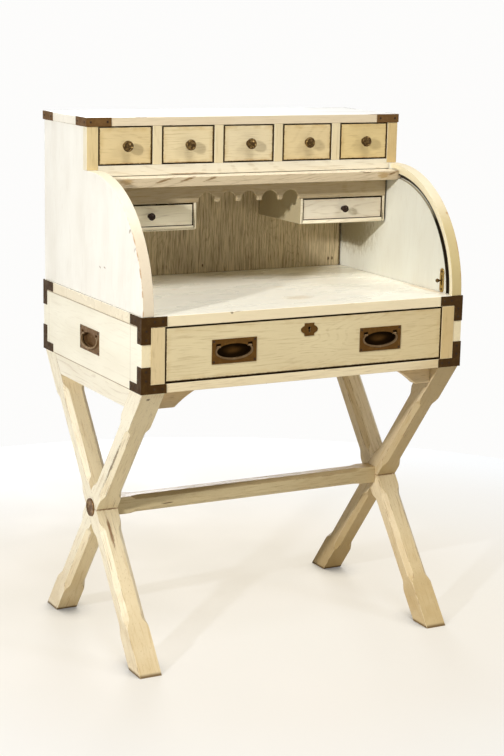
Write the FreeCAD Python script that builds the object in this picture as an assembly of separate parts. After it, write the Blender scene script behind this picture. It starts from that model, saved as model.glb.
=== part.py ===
import FreeCAD, Part
import math
import os

V = FreeCAD.Vector
UP = V(0, 0, 1)
ACROSS = V(1, 0, 0)
BACKWARD = V(0, 1, 0)

# Whole desk, in millimetres: origin on the floor under the middle, +Y to the back
case_width = 762.0
case_depth = 526.0
case_height = 156.0
writing_height = 756.0

# Fits
slide_gap = 0.3
pin_gap = 0.05
roll_gap = 0.5
cut_overrun = 4.0

# Crossed legs, square in section, half-lapped at the crossing
leg_thickness = 49.5
leg_setback = 3.0
foot_length = 57.0
foot_setback = 1.0
back_foot_setback = 5.0
leg_chamfer = 10.0
foot_block = 86.0
cross_block = 40.0
leg_top_block = 88.0
tongue_run = 28.0
tongue_shares = ((0.0, 0.0), (0.25, 0.09), (0.5, 0.4), (0.8, 0.9), (1.0, 1.0))
leg_rail_height = 43.0
leg_rail_thickness = 30.0
stretcher_section = 38.0
stretcher_chamfer = 8.0
stretcher_block = 26.0
knee_length = 88.0
knee_height = 40.0
knee_thickness = 22.0
knee_setback = 34.0
knee_foot_share = 0.42
knee_tip_share = 0.14

# Bolt through each crossing, with a dished brass head
bolt_radius = 5.0
bolt_bite = 40.0
bolt_head_radius = 19.5
bolt_head_rise = 3.6
bolt_head_rim = 3.2
bolt_head_dish = 2.0

# Case under the writing slab
slab_thickness = 22.0
case_side_thickness = 20.0
case_back_thickness = 12.0
case_bottom_thickness = 12.0
front_rail_height = 18.5
front_rail_depth = 60.0
stile_width = 31.0
stile_depth = 20.0
metal_thickness = 1.2
runner_width = 24.0
guide_height = 22.0
stop_depth = 10.0

# Brass corners
bracket_arm = 55.0
bracket_upright = 19.5
bracket_top_band = 20.5
strap_arm = 56.0
screw_head_radius = 2.4
screw_head_proud = 0.4
screw_shank_radius = 1.2
screw_bite = 7.0
screw_inset = 9.0

# Wide drawer under the slab
front_gap_side = 3.0
front_gap_below = 4.0
front_gap_above = 3.5
drawer_front_thickness = 20.0
drawer_board = 12.0
drawer_bottom_board = 6.0
drawer_bottom_lift = 9.0
drawer_back_clearance = 12.0
drawer_side_drop = 16.0

# Flush pulls and carrying handles: plate, cup and hinged bail
pull_width = 102.0
pull_height = 50.5
pan_width = 97.0
pan_height = 47.0
pan_depth = 12.5
lug_below = 4.6
lug_above = 8.2
lug_depth = 5.0
cup_depth = 10.5
bail_width = 87.0
bail_height = 37.6
bail_band = 3.8
bail_thickness = 4.0
bail_gap = 0.5
bail_pivot_rise = 9.0
knuckle_radius = 2.2
knuckle_length = 8.0
bail_pin_radius = 1.0
bail_pin_reach = 5.5
notch_below = 3.4
notch_above = 7.0
notch_reach = 2.6
pull_screw_inset = 4.2
pull_inset = 152.5
pull_drop = 1.0
handle_drop = 2.0
handle_bail_lift_deg = 12.0

# Lock of the wide drawer
escutcheon_width = 40.0
escutcheon_height = 27.0
escutcheon_oval_height = 20.0
escutcheon_tab = 23.0
escutcheon_drop = 23.5
keyhole_radius = 3.1
keyhole_slot = 3.6
keyhole_rise = 2.7
keyhole_drop = 8.5
lock_width = 64.0
lock_height = 44.0
lock_depth = 14.0
lock_wall = 3.0
lock_bolt_width = 22.0
lock_bolt_height = 24.0
lock_bolt_thickness = 6.0
lock_bolt_travel = 10.0
lock_top_drop = 2.0

# Upper sides with the quarter-round rim, and the groove that the roll runs in
upper_side_thickness = 17.5
upper_side_setback = 2.5
rim_radius = 262.5
rim_setback = 0.5
lip_reach = 7.0
lip_clearance = 4.0
groove_margin = 27.5
groove_width = 7.6
groove_depth = 6.0
groove_corner_radius = 34.0
groove_back_setback = 22.0
groove_floor = 51.0

# Roll: lead rail, slats and canvas
rail_below_groove = 6.0
rail_above_groove = 14.0
rail_lead_deg = 5.6
rail_trail_deg = 5.2
tongue_thickness = 6.6
tongue_reach = 5.4
tongue_width = 8.0
spare_slat_count = 2
slat_pitch = 14.2
slat_width = 12.8
slat_thickness = 8.0
canvas_thickness = 0.8
canvas_tail = 6.0

# Top box with its five drawers
top_behind_crown = 20.0
top_opening_height = 81.5
top_board_thickness = 18.5
top_board_inset = 0.4
post_width = 26.0
post_depth = 20.0
post_inset = 1.0
shelf_drop = 13.0
shelf_thickness = 22.0
divider_width = 21.5
top_drawer_count = 5
top_front_gap = 2.8
top_front_gap_below = 2.8
top_front_thickness = 16.0
top_drawer_clearance = 19.0
small_board = 7.0
small_bottom_board = 4.0
small_bottom_lift = 3.0
small_side_drop = 12.0

# Backs
outer_back_thickness = 12.0
back_panel_thickness = 6.0
roll_space = 36.0
back_panel_gap = 3.0

# Gallery: apron, top and two hanging drawer boxes
gallery_behind_crown = 25.0
gallery_left_gap = 17.25
gallery_right_gap = 3.75
gallery_clearance = 7.0
gallery_board = 8.0
apron_thickness = 9.0
apron_height = 40.0
apron_clearance = 2.0
arch_radius = 21.5
arch_tip = 8.7
box_width = 220.25
box_height = 57.0
box_end_inset = 1.0
box_side = 6.5
box_bottom = 8.0
small_front_setback = 2.0
small_front_gap = 1.8
small_front_gap_above = 3.6
small_front_thickness = 9.0
small_drawer_clearance = 16.0

# Knobs, as shares of radius and of projection along the turned outline
top_knob_radius = 11.8
top_knob_projection = 17.0
small_knob_radius = 8.0
small_knob_projection = 16.0
knob_stud_radius = 2.0
knob_outline_shares = (
    (0.62, 0.0), (0.62, 0.06), (0.34, 0.16), (0.34, 0.48), (0.84, 0.58), (1.0, 0.68),
    (1.0, 0.8), (0.92, 0.91), (0.74, 0.96), (0.66, 0.89), (0.5, 0.93), (0.28, 0.99),
)

# Catch on the right inner face
catch_width = 15.0
catch_height = 53.0
catch_plate_thickness = 1.5
catch_setback = 50.5
catch_slot_width = 4.4
catch_slot_height = 22.0
catch_stem_radius = 1.8
catch_knob_radius = 4.4
catch_knob_reach = 12.5
catch_bolt_width = 7.0
catch_bolt_height = 12.0
catch_bolt_thickness = 4.0
catch_travel = 8.0
catch_screw_inset = 7.0

# Places worked out from the sizes above
half_width = case_width / 2
front_y = -case_depth / 2
back_y = case_depth / 2
case_underside = writing_height - case_height
slab_underside = writing_height - slab_thickness
inner_half = half_width - case_side_thickness
drawer_floor = case_underside + front_rail_height
drawer_depth = case_depth - case_back_thickness - stop_depth - drawer_back_clearance

leg_outer = half_width - leg_setback
leg_inner = leg_outer - leg_thickness
leg_middle = leg_outer - leg_thickness / 2
front_foot_y = front_y + foot_setback
back_top_y = back_y - foot_length
back_foot_y = back_top_y - back_foot_setback
falling_run = back_foot_y - front_foot_y
rising_run = back_top_y - front_foot_y
cross_share = falling_run / (falling_run + rising_run)
cross_y = front_foot_y + foot_length / 2 + rising_run * cross_share
cross_z = case_underside * cross_share

upper_outer = half_width - upper_side_setback
upper_inner = upper_outer - upper_side_thickness
crown_y = front_y + rim_setback + rim_radius
rim_top = writing_height + rim_radius
groove_radius = rim_radius - groove_margin
rail_inner_radius = groove_radius - rail_below_groove
rail_outer_radius = groove_radius + rail_above_groove
groove_level = writing_height + groove_radius
groove_back_y = back_y - groove_back_setback
groove_corner_y = groove_back_y - groove_corner_radius
groove_corner_z = groove_level - groove_corner_radius
groove_end_z = writing_height + groove_floor

top_front_y = crown_y + top_behind_crown
outer_back_y = back_y - outer_back_thickness
shelf_underside = rim_top - shelf_drop
shelf_top = shelf_underside + shelf_thickness
top_underside = shelf_top + top_opening_height
overall_height = top_underside + top_board_thickness
post_outer = half_width - post_inset
post_inner = post_outer - post_width
top_drawer_depth = outer_back_y - top_front_y - top_drawer_clearance

gallery_front_y = crown_y + gallery_behind_crown
gallery_back_y = back_y - roll_space - back_panel_thickness
gallery_left = gallery_left_gap - upper_inner
gallery_right = upper_inner - gallery_right_gap
gallery_top_height = writing_height + rail_inner_radius - gallery_clearance
apron_top = writing_height + rail_inner_radius - apron_clearance
apron_bottom = apron_top - apron_height
box_underside = apron_bottom - box_height
opening_left = gallery_left + box_end_inset + box_width
opening_right = gallery_right - box_end_inset - box_width
small_drawer_depth = gallery_back_y - gallery_front_y - small_front_setback - small_drawer_clearance


def block(x0, x1, y0, y1, z0, z1):
    return Part.makeBox(x1 - x0, y1 - y0, z1 - z0, V(x0, y0, z0))


def mirrored(shape):
    """The same piece on the other end of the desk."""
    return shape.mirror(V(0, 0, 0), ACROSS)


def reversed_depth(shape):
    """The same piece at the back of the desk."""
    return shape.mirror(V(0, 0, 0), BACKWARD)


def prism(points, direction):
    return Part.Face(Part.makePolygon(points + points[:1])).extrude(direction)


def side_prism(outline, x0, x1):
    """A board standing in the plane of the desk's side, from (y, z) points."""
    return prism([V(x0, y, z) for y, z in outline], ACROSS * (x1 - x0))


def ellipse_prism(width, height, y0, y1):
    """An upright oval centred on the Y axis, longer across than high."""
    oval = Part.Ellipse(V(0, y0, 0), width / 2, height / 2)
    oval.rotate(FreeCAD.Placement(V(0, y0, 0), FreeCAD.Rotation(ACROSS, 90)))
    return Part.Face(Part.Wire(oval.toShape())).extrude(BACKWARD * (y1 - y0))


def arc_point(radius, degrees, x):
    """A point on the roll's circle, with the angle from the top towards the front."""
    turn = math.radians(degrees)
    return V(x, crown_y - radius * math.sin(turn), writing_height + radius * math.cos(turn))


def sector(inner, outer, lead, trail, x0, x1):
    """A bar curved about the roll's centre line, from angle trail to angle lead."""
    middle = (lead + trail) / 2
    near = [arc_point(inner, turn, x0) for turn in (trail, middle, lead)]
    far = [arc_point(outer, turn, x0) for turn in (lead, middle, trail)]
    edges = [
        Part.Arc(*near).toShape(), Part.makeLine(near[2], far[0]),
        Part.Arc(*far).toShape(), Part.makeLine(far[2], near[0]),
    ]
    return Part.Face(Part.Wire(edges)).extrude(ACROSS * (x1 - x0))


def save(name, *solids):
    shape = solids[0] if len(solids) == 1 else Part.makeCompound(list(solids))
    shape.exportStep(os.path.join("parts", name + ".step"))


def stopped_chamfer(corner, along, into_a, into_b, start, end, size):
    """Cutter for a chamfer along one edge that dies away in a tongue at both ends."""
    stations = [(start + tongue_run * run, size * depth) for run, depth in tongue_shares]
    stations += [(end - tongue_run * run, size * depth) for run, depth in reversed(tongue_shares)]
    rings = []
    for distance, depth in stations:
        centre = corner + along * distance
        points = [
            centre + into_a * (depth + cut_overrun) - into_b * cut_overrun,
            centre + into_b * (depth + cut_overrun) - into_a * cut_overrun,
            centre - (into_a + into_b) * cut_overrun,
        ]
        rings.append(Part.makePolygon(points + points[:1]))
    return Part.makeLoft(rings, True, True)


def chamfered(bar, foot, along, side_a, side_b, spans, size):
    """Chamfer the four long edges of a bar whose section is spanned by side_a and side_b."""
    unit_a = V(side_a).normalize()
    unit_b = V(side_b).normalize()
    for sign_a in (-1, 1):
        for sign_b in (-1, 1):
            corner = foot + side_a * sign_a + side_b * sign_b
            for start, end in spans:
                into_a = unit_a * -sign_a
                into_b = unit_b * -sign_b
                bar = bar.cut(stopped_chamfer(corner, along, into_a, into_b, start, end, size))
    return bar


def leg_outline(foot_y, top_y):
    """A leg from the side, given the front edges of its foot and of its top."""
    return [
        (foot_y, 0), (foot_y + foot_length, 0),
        (top_y + foot_length, case_underside), (top_y, case_underside),
    ]


def leg(foot_y, top_y):
    """A right-hand leg with stopped chamfers between its square blocks."""
    foot = V(leg_middle, foot_y + foot_length / 2, 0)
    top = V(leg_middle, top_y + foot_length / 2, case_underside)
    length = (top - foot).Length
    along = (top - foot).normalize()
    side_a = V(0, along.z, -along.y) * (foot_length * along.z / 2)
    crossing = length * cross_share
    spans = ((foot_block, crossing - cross_block), (crossing + cross_block, length - leg_top_block))
    bar = side_prism(leg_outline(foot_y, top_y), leg_inner, leg_outer)
    return chamfered(bar, foot, along, side_a, ACROSS * (leg_thickness / 2), spans, leg_chamfer)


def leg_pair():
    """Two right-hand legs, half-lapped at their crossing and bored for its bolt."""
    rising = (front_foot_y, back_top_y)
    falling = (back_foot_y, front_foot_y)
    inner_lap = side_prism(leg_outline(*falling), leg_inner, leg_middle)
    outer_lap = side_prism(leg_outline(*rising), leg_middle, leg_outer)
    bore = Part.makeCylinder(bolt_radius + pin_gap, leg_thickness, V(leg_inner, cross_y, cross_z), ACROSS)
    return leg(*rising).cut(inner_lap).cut(bore), leg(*falling).cut(outer_lap).cut(bore)


def leg_rail():
    """Rail between the leg tops, with its ends cut to the slopes of the legs."""
    lower = case_underside - leg_rail_height
    drop_share = leg_rail_height / case_underside
    front_end = front_foot_y + foot_length
    front_low = front_end + falling_run * drop_share
    back_low = back_top_y - rising_run * drop_share
    outline = [
        (front_end, case_underside), (front_low, lower), (back_low, lower), (back_top_y, case_underside),
    ]
    return side_prism(outline, leg_outer - leg_rail_thickness, leg_outer)


def stretcher():
    half = stretcher_section / 2
    bar = block(-leg_inner, leg_inner, cross_y - half, cross_y + half, cross_z - half, cross_z + half)
    foot = V(-leg_inner, cross_y, cross_z)
    spans = ((stretcher_block, 2 * leg_inner - stretcher_block),)
    bar = chamfered(bar, foot, ACROSS, BACKWARD * half, UP * half, spans, stretcher_chamfer)
    start = V(leg_inner - bolt_bite, cross_y, cross_z)
    hole = Part.makeCylinder(bolt_radius + pin_gap, bolt_bite, start, ACROSS)
    return bar.cut(hole).cut(mirrored(hole))


def knee_bracket():
    """Shaped bracket in the angle between a leg top and the underside of the case."""
    tip_x = leg_inner - knee_length
    foot_x = leg_inner - knee_length * knee_foot_share
    y = front_y + knee_setback
    low = case_underside - knee_height
    tip_z = case_underside - knee_height * knee_tip_share
    bend = V((tip_x + foot_x) / 2, y, low + (tip_z - low) * (1 - knee_foot_share))
    outline = [
        Part.makeLine(V(leg_inner, y, case_underside), V(leg_inner, y, low)),
        Part.makeLine(V(leg_inner, y, low), V(foot_x, y, low)),
        Part.Arc(V(foot_x, y, low), bend, V(tip_x, y, tip_z)).toShape(),
        Part.makeLine(V(tip_x, y, tip_z), V(tip_x, y, case_underside)),
        Part.makeLine(V(tip_x, y, case_underside), V(leg_inner, y, case_underside)),
    ]
    return Part.Face(Part.Wire(outline)).extrude(BACKWARD * knee_thickness)


def cross_bolt():
    """Bolt with a dished brass head, through the crossing into the end of the stretcher."""
    start = V(leg_inner - bolt_bite, cross_y, cross_z)
    face = V(leg_outer, cross_y, cross_z)
    shank = Part.makeCylinder(bolt_radius, bolt_bite + leg_thickness, start, ACROSS)
    head = Part.makeCylinder(bolt_head_radius, bolt_head_rise, face, ACROSS)
    dish_start = face + ACROSS * (bolt_head_rise - bolt_head_dish)
    dish_radius = bolt_head_radius - bolt_head_rim
    dish = Part.makeCone(dish_radius - bolt_head_rim, dish_radius, bolt_head_dish, dish_start, ACROSS)
    return shank.fuse(head.cut(dish))


def drawer_front_box():
    """Corners of the wide drawer's front."""
    half = inner_half - stile_width - front_gap_side
    return half, drawer_floor + front_gap_below, slab_underside - front_gap_above


def lock_place():
    """Height of the lock's top and the gap that its bolt runs in, behind the drawer front."""
    low_y = front_y + drawer_front_thickness
    top_z = drawer_front_box()[2] - lock_top_drop
    return low_y, top_z


def lock_bolt():
    low_y, top_z = lock_place()
    bolt_y = low_y + lock_wall
    half = lock_bolt_width / 2
    return block(-half, half, bolt_y, bolt_y + lock_bolt_thickness, top_z - lock_bolt_height, top_z)


def writing_slab():
    slab = block(-half_width, half_width, front_y, back_y, slab_underside, writing_height)
    reach = lock_bolt_travel - lock_top_drop - front_gap_above + 2 * slide_gap
    bolt = lock_bolt().BoundBox
    mortise = block(
        bolt.XMin - slide_gap, bolt.XMax + slide_gap, bolt.YMin - slide_gap, bolt.YMax + slide_gap,
        slab_underside, slab_underside + reach,
    )
    return slab.cut(mortise)


def case_side():
    """Right-hand end of the case, mortised for the cup of its carrying handle."""
    board = block(inner_half, half_width, front_y, back_y, case_underside, slab_underside)
    return board.cut(on_right_end(pan_block()))


def front_frame():
    rail = block(-inner_half, inner_half, front_y, front_y + front_rail_depth, case_underside, drawer_floor)
    stile = block(
        inner_half - stile_width, inner_half, front_y - metal_thickness, front_y + stile_depth,
        drawer_floor, slab_underside,
    )
    return rail, stile, mirrored(stile)


def case_back():
    inner = back_y - case_back_thickness
    return block(-inner_half, inner_half, inner, back_y, case_underside, slab_underside)


def case_bottom():
    start = front_y + front_rail_depth
    end = back_y - case_back_thickness
    return block(-inner_half, inner_half, start, end, case_underside, case_underside + case_bottom_thickness)


def drawer_runners():
    """Runner, side guide and back stop at each end of the wide drawer."""
    half = drawer_front_box()[0]
    start = front_y + front_rail_depth
    end = back_y - case_back_thickness
    floor = case_underside + case_bottom_thickness
    inner = half - runner_width
    high = drawer_floor + guide_height
    runner = block(inner, half + slide_gap, start, end, floor, drawer_floor)
    guide = block(half + slide_gap, inner_half, front_y + stile_depth, end, drawer_floor, high)
    stop_y = front_y + drawer_depth + slide_gap
    stop = block(inner, half, stop_y, stop_y + stop_depth, drawer_floor, high)
    return [piece for right in (runner, guide, stop) for piece in (right, mirrored(right))]


def at_four_corners(piece):
    """A piece for the front left corner, repeated at all four corners of the case."""
    pair = [piece, reversed_depth(piece)]
    return pair + [mirrored(one) for one in pair]


def turned_over(piece):
    """A piece for a top corner of the case, moved to the bottom corner."""
    return piece.mirror(V(0, 0, (case_underside + writing_height) / 2), UP)


def bracket_screw_places(band):
    """Screw centres on one face of a top corner bracket, as distances from the corner."""
    far = bracket_arm - screw_inset
    middle_a = bracket_upright / 2
    middle_b = band / 2
    upright = [(middle_a, b) for b in (far, (far + middle_b) / 2)]
    return upright + [(a, middle_b) for a in (far, (far + middle_a) / 2)]


def screw(place, outward):
    """Dome-headed brass screw with its head sunk in a plate that stands on the wood at place."""
    head_depth = metal_thickness + screw_head_proud
    head = Part.makeCylinder(screw_head_radius, head_depth, place, outward)
    shank = Part.makeCylinder(screw_shank_radius, screw_bite, place - outward * screw_bite, outward)
    return head.fuse(shank)


def screw_hole(place, outward):
    start = place - outward * cut_overrun
    return Part.makeCylinder(screw_head_radius + pin_gap, 2 * cut_overrun, start, outward)


def front_face_point(a, b):
    return V(-half_width + a, front_y, writing_height - b)


def end_face_point(a, b):
    return V(-half_width, front_y + a, writing_height - b)


def case_bracket(band):
    """Brass corner for the top front left of the case, with an L on the front and an L on the end."""
    outer_x = -half_width - metal_thickness
    outer_y = front_y - metal_thickness
    arm_z = writing_height - bracket_arm
    band_z = writing_height - band
    arms = [
        block(outer_x, -half_width + bracket_arm, outer_y, front_y, band_z, writing_height),
        block(outer_x, -half_width + bracket_upright, outer_y, front_y, arm_z, writing_height),
        block(outer_x, -half_width, outer_y, front_y + bracket_arm, band_z, writing_height),
        block(outer_x, -half_width, outer_y, front_y + bracket_upright, arm_z, writing_height),
    ]
    plate = arms[0].multiFuse(arms[1:]).removeSplitter()
    for a, b in bracket_screw_places(band):
        plate = plate.cut(screw_hole(front_face_point(a, b), -BACKWARD))
        plate = plate.cut(screw_hole(end_face_point(a, b), -ACROSS))
    return plate


def case_brackets():
    bottom = turned_over(case_bracket(front_rail_height))
    return at_four_corners(case_bracket(bracket_top_band)) + at_four_corners(bottom)


def corner_screws(band):
    solids = []
    for a, b in bracket_screw_places(band):
        solids.append(screw(front_face_point(a, b), -BACKWARD))
        solids.append(screw(end_face_point(a, b), -ACROSS))
    return solids


def bracket_screws():
    corners = corner_screws(bracket_top_band) + [turned_over(one) for one in corner_screws(front_rail_height)]
    return [copy for one in corners for copy in at_four_corners(one)]


def strap_screw_places():
    """Screw centres of one top strap, as points on the wood with the outward direction."""
    x = half_width - top_board_inset
    middle = (top_underside + overall_height) / 2
    places = []
    for distance in (screw_inset, strap_arm - screw_inset):
        places.append((V(-x + distance, top_front_y, middle), -BACKWARD))
        places.append((V(-x, top_front_y + distance, middle), -ACROSS))
    return places


def at_top_corners(piece):
    """A piece for the front left corner of the top board, repeated at its four corners."""
    back = piece.mirror(V(0, (top_front_y + back_y) / 2, 0), BACKWARD)
    return [piece, back, mirrored(piece), mirrored(back)]


def top_strap():
    """Brass strap bent round one corner of the top board's edge."""
    x = -half_width + top_board_inset
    outer_x = x - metal_thickness
    outer_y = top_front_y - metal_thickness
    front = block(outer_x, x + strap_arm, outer_y, top_front_y, top_underside, overall_height)
    end = block(outer_x, x, outer_y, top_front_y + strap_arm, top_underside, overall_height)
    strap = front.fuse(end).removeSplitter()
    for place, outward in strap_screw_places():
        strap = strap.cut(screw_hole(place, outward))
    return strap


def strap_screws():
    return [copy for place in strap_screw_places() for copy in at_top_corners(screw(*place))]


def pan_block():
    """Oval pan and pivot lugs behind a flush pull's plate, sunk in the wood whose face is at y = 0."""
    low = bail_pivot_rise - lug_below
    high = bail_pivot_rise + lug_above
    lugs = block(-pan_width / 2, pan_width / 2, 0, lug_depth, low, high)
    return ellipse_prism(pan_width, pan_height, 0, pan_depth).fuse(lugs)


def knuckle_place():
    """Distance of a bail's knuckle from the pull's middle, on the bail's centre line."""
    half_width_mid = (bail_width - bail_band) / 2
    half_height_mid = (bail_height - bail_band) / 2
    return half_width_mid * math.sqrt(1 - (bail_pivot_rise / half_height_mid) ** 2)


def bail_axis_y():
    return -metal_thickness + bail_thickness / 2


def pull_screw_places():
    x = pull_width / 2 - pull_screw_inset
    z = pull_height / 2 - pull_screw_inset
    return [V(sx * x, 0, sz * z) for sx in (-1, 1) for sz in (-1, 1)]


def pull_plate():
    """Flush plate with its cup, the bail's bed and the bores for the bail's pins."""
    face_y = -metal_thickness
    plate = block(-pull_width / 2, pull_width / 2, face_y, 0, -pull_height / 2, pull_height / 2)
    plate = plate.fuse(pan_block()).removeSplitter()
    bed_back = face_y + bail_thickness + bail_gap
    start = face_y - cut_overrun
    bed = ellipse_prism(bail_width + 2 * bail_gap, bail_height + 2 * bail_gap, start, bed_back)
    above_pivot = block(-pull_width, pull_width, start, bed_back, bail_pivot_rise, pull_height)
    plate = plate.cut(bed.cut(above_pivot))
    plate = plate.cut(
        ellipse_prism(bail_width - 2 * bail_band, bail_height - 2 * bail_band, start, face_y + cup_depth)
    )
    reach = knuckle_place() + knuckle_length / 2
    for side in (-1, 1):
        ends = sorted((side * (reach - knuckle_length - bail_gap), side * (reach + notch_reach)))
        low = bail_pivot_rise - notch_below
        high = bail_pivot_rise + notch_above
        plate = plate.cut(block(ends[0], ends[1], start, bed_back, low, high))
        bore_start = V(side * reach, bail_axis_y(), bail_pivot_rise)
        bore = Part.makeCylinder(
            bail_pin_radius + pin_gap, bail_pin_reach + bail_gap, bore_start, ACROSS * side
        )
        plate = plate.cut(bore)
    for place in pull_screw_places():
        plate = plate.cut(screw_hole(place, -BACKWARD))
    return plate


def bail():
    """Half-oval bail with a knuckle and a pin at each end, lying flush in its plate."""
    y0 = -metal_thickness
    y1 = y0 + bail_thickness
    ring = ellipse_prism(bail_width, bail_height, y0, y1).cut(
        ellipse_prism(bail_width - 2 * bail_band, bail_height - 2 * bail_band, y0, y1)
    )
    ring = ring.cut(block(-bail_width, bail_width, y0, y1, bail_pivot_rise, bail_height))
    pieces = []
    for side in (-1, 1):
        centre = V(side * knuckle_place(), bail_axis_y(), bail_pivot_rise)
        inner = centre - ACROSS * (side * knuckle_length / 2)
        pin_length = knuckle_length + bail_pin_reach
        pieces.append(Part.makeCylinder(knuckle_radius, knuckle_length, inner, ACROSS * side))
        pieces.append(Part.makeCylinder(bail_pin_radius, pin_length, inner, ACROSS * side))
    return ring.multiFuse(pieces).removeSplitter()


def lifted_bail():
    """The bail of a carrying handle, standing a little way out of its plate."""
    shape = bail()
    shape.rotate(V(0, bail_axis_y(), bail_pivot_rise), ACROSS, -handle_bail_lift_deg)
    return shape


def pull_screws():
    return [screw(place, -BACKWARD) for place in pull_screw_places()]


def on_drawer(shape, side):
    """Move a pull from the origin to its place on the wide drawer's front."""
    moved = shape.copy()
    half, low, high = drawer_front_box()
    moved.translate(V(side * (half - pull_inset), front_y, (low + high) / 2 - pull_drop))
    return moved


def on_right_end(shape):
    """Turn a pull to face right and move it to the right-hand end of the case."""
    moved = shape.copy()
    moved.rotate(V(0, 0, 0), UP, 90)
    moved.translate(V(half_width, 0, (case_underside + slab_underside) / 2 - handle_drop))
    return moved


def keyhole_level():
    return drawer_front_box()[2] - escutcheon_drop


def keyhole(y0, y1):
    """Keyhole, from the front of the escutcheon through to the lock."""
    level = keyhole_level() + keyhole_rise
    eye = Part.makeCylinder(keyhole_radius, y1 - y0, V(0, y0, level), BACKWARD)
    half = keyhole_slot / 2
    return eye.fuse(block(-half, half, y0, y1, level - keyhole_drop, level))


def escutcheon():
    oval = ellipse_prism(escutcheon_width, escutcheon_oval_height, front_y - metal_thickness, front_y)
    level = keyhole_level()
    oval.translate(UP * level)
    half_tab = escutcheon_tab / 2
    half_height = escutcheon_height / 2
    tab = block(
        -half_tab, half_tab, front_y - metal_thickness, front_y, level - half_height, level + half_height
    )
    return oval.fuse(tab).removeSplitter().cut(keyhole(front_y - cut_overrun, front_y + cut_overrun))


def lock_case():
    """Lock case behind the drawer front, open at the top where its bolt slides."""
    low_y, top_z = lock_place()
    half = lock_width / 2
    case = block(-half, half, low_y, low_y + lock_depth, top_z - lock_height, top_z)
    bolt = lock_bolt().BoundBox
    channel = block(
        bolt.XMin - slide_gap, bolt.XMax + slide_gap, bolt.YMin - slide_gap, bolt.YMax + slide_gap,
        bolt.ZMin - slide_gap, top_z + cut_overrun,
    )
    return case.cut(channel).cut(keyhole(low_y, low_y + lock_wall))


def drawer_front():
    half, low, high = drawer_front_box()
    board = block(-half, half, front_y, front_y + drawer_front_thickness, low, high)
    for side in (-1, 1):
        board = board.cut(on_drawer(pan_block(), side))
    return board.cut(keyhole(front_y - cut_overrun, front_y + drawer_front_thickness + cut_overrun))


def tray(half, board, start_y, end_y, low, high, bottom_lift, bottom_board):
    """Sides, back and bottom of a drawer centred on the Y axis, behind its front."""
    side = block(half - board, half, start_y, end_y, low, high)
    inner = half - board
    back = block(-inner, inner, end_y - board, end_y, low, high)
    floor = low + bottom_lift
    bottom = block(-inner, inner, start_y, end_y - board, floor, floor + bottom_board)
    return side, mirrored(side), back, bottom


def wide_drawer_tray():
    half, low, high = drawer_front_box()
    start = front_y + drawer_front_thickness
    end = front_y + drawer_depth
    return tray(
        half, drawer_board, start, end, drawer_floor + slide_gap, high - drawer_side_drop,
        drawer_bottom_lift, drawer_bottom_board,
    )


def groove_cutter():
    """The roll's groove in the right-hand side: quarter circle, level run, corner, drop."""
    x0 = upper_inner - cut_overrun
    x1 = upper_inner + groove_depth
    half = groove_width / 2
    quarter = 90.0
    arc = sector(groove_radius - half, groove_radius + half, quarter, 0, x0, x1)
    run = block(x0, x1, crown_y, groove_corner_y, groove_level - half, groove_level + half)
    hub_place = V(x0, groove_corner_y, groove_corner_z)
    ring = Part.makeCylinder(groove_corner_radius + half, x1 - x0, hub_place, ACROSS)
    hub = Part.makeCylinder(groove_corner_radius - half, x1 - x0, hub_place, ACROSS)
    square = block(x0, x1, groove_corner_y, groove_back_y + half, groove_corner_z, groove_level + half)
    drop = block(x0, x1, groove_back_y - half, groove_back_y + half, groove_end_z, groove_corner_z)
    return arc, run, ring.cut(hub).common(square), drop


def catch_mortise():
    height = catch_bolt_height / 2 + catch_travel + slide_gap
    half = catch_bolt_width / 2 + slide_gap
    y = front_y + catch_setback
    z = writing_height + catch_height / 2
    depth = catch_bolt_thickness + 2 * slide_gap
    return block(upper_inner, upper_inner + depth, y - half, y + half, z - height, z + height)


def upper_side():
    """Right-hand upper side: quarter-round rim with a lip, stepping up beside the top box."""
    behind_post = top_front_y + post_depth
    tip = arc_point(rim_radius, 90, upper_inner)
    middle = arc_point(rim_radius, 45, upper_inner)
    crown = arc_point(rim_radius, 0, upper_inner)
    corners = [
        crown, V(upper_inner, behind_post, rim_top), V(upper_inner, behind_post, top_underside),
        V(upper_inner, back_y, top_underside), V(upper_inner, back_y, writing_height), tip,
    ]
    edges = [Part.Arc(tip, middle, crown).toShape()]
    edges += [Part.makeLine(a, b) for a, b in zip(corners, corners[1:])]
    board = Part.Face(Part.Wire(edges)).extrude(ACROSS * upper_side_thickness)
    for cutter in groove_cutter():
        board = board.cut(cutter)
    lip_radius = rail_outer_radius + lip_clearance
    lip = sector(lip_radius, rim_radius, 90, 0, upper_inner - lip_reach, upper_inner)
    return board.fuse(lip).removeSplitter()


def roll_rail():
    """Lead rail of the roll: a curved bar with a tongue at each end in the grooves."""
    half = upper_inner - roll_gap
    bar = sector(rail_inner_radius, rail_outer_radius, rail_lead_deg, -rail_trail_deg, -half, half)
    inner = groove_radius - tongue_thickness / 2
    reach = half + tongue_reach
    tongue = sector(inner, inner + tongue_thickness, rail_lead_deg, 0, -reach, reach)
    return bar.fuse(tongue).removeSplitter()


def roll_runs():
    """Start of the roll behind its rail, the length of its level run and the bend at the corner."""
    start = crown_y + rail_outer_radius * math.sin(math.radians(rail_trail_deg)) + roll_gap
    return start, groove_corner_y - start, groove_corner_radius - slat_thickness / 2


def roll_path(distance):
    """Point and direction on the back faces of the slats, from the rail's trailing end."""
    start, straight, bend = roll_runs()
    if distance < straight:
        return V(0, start + distance, groove_level - slat_thickness / 2), V(0, 1, 0), V(0, 0, 1)
    turn = min((distance - straight) / bend, math.pi / 2)
    outward = V(0, math.sin(turn), math.cos(turn))
    tangent = V(0, math.cos(turn), -math.sin(turn))
    rest = max(0, distance - straight - bend * math.pi / 2)
    return V(0, groove_corner_y, groove_corner_z) + outward * bend + tangent * rest, tangent, outward


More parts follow.
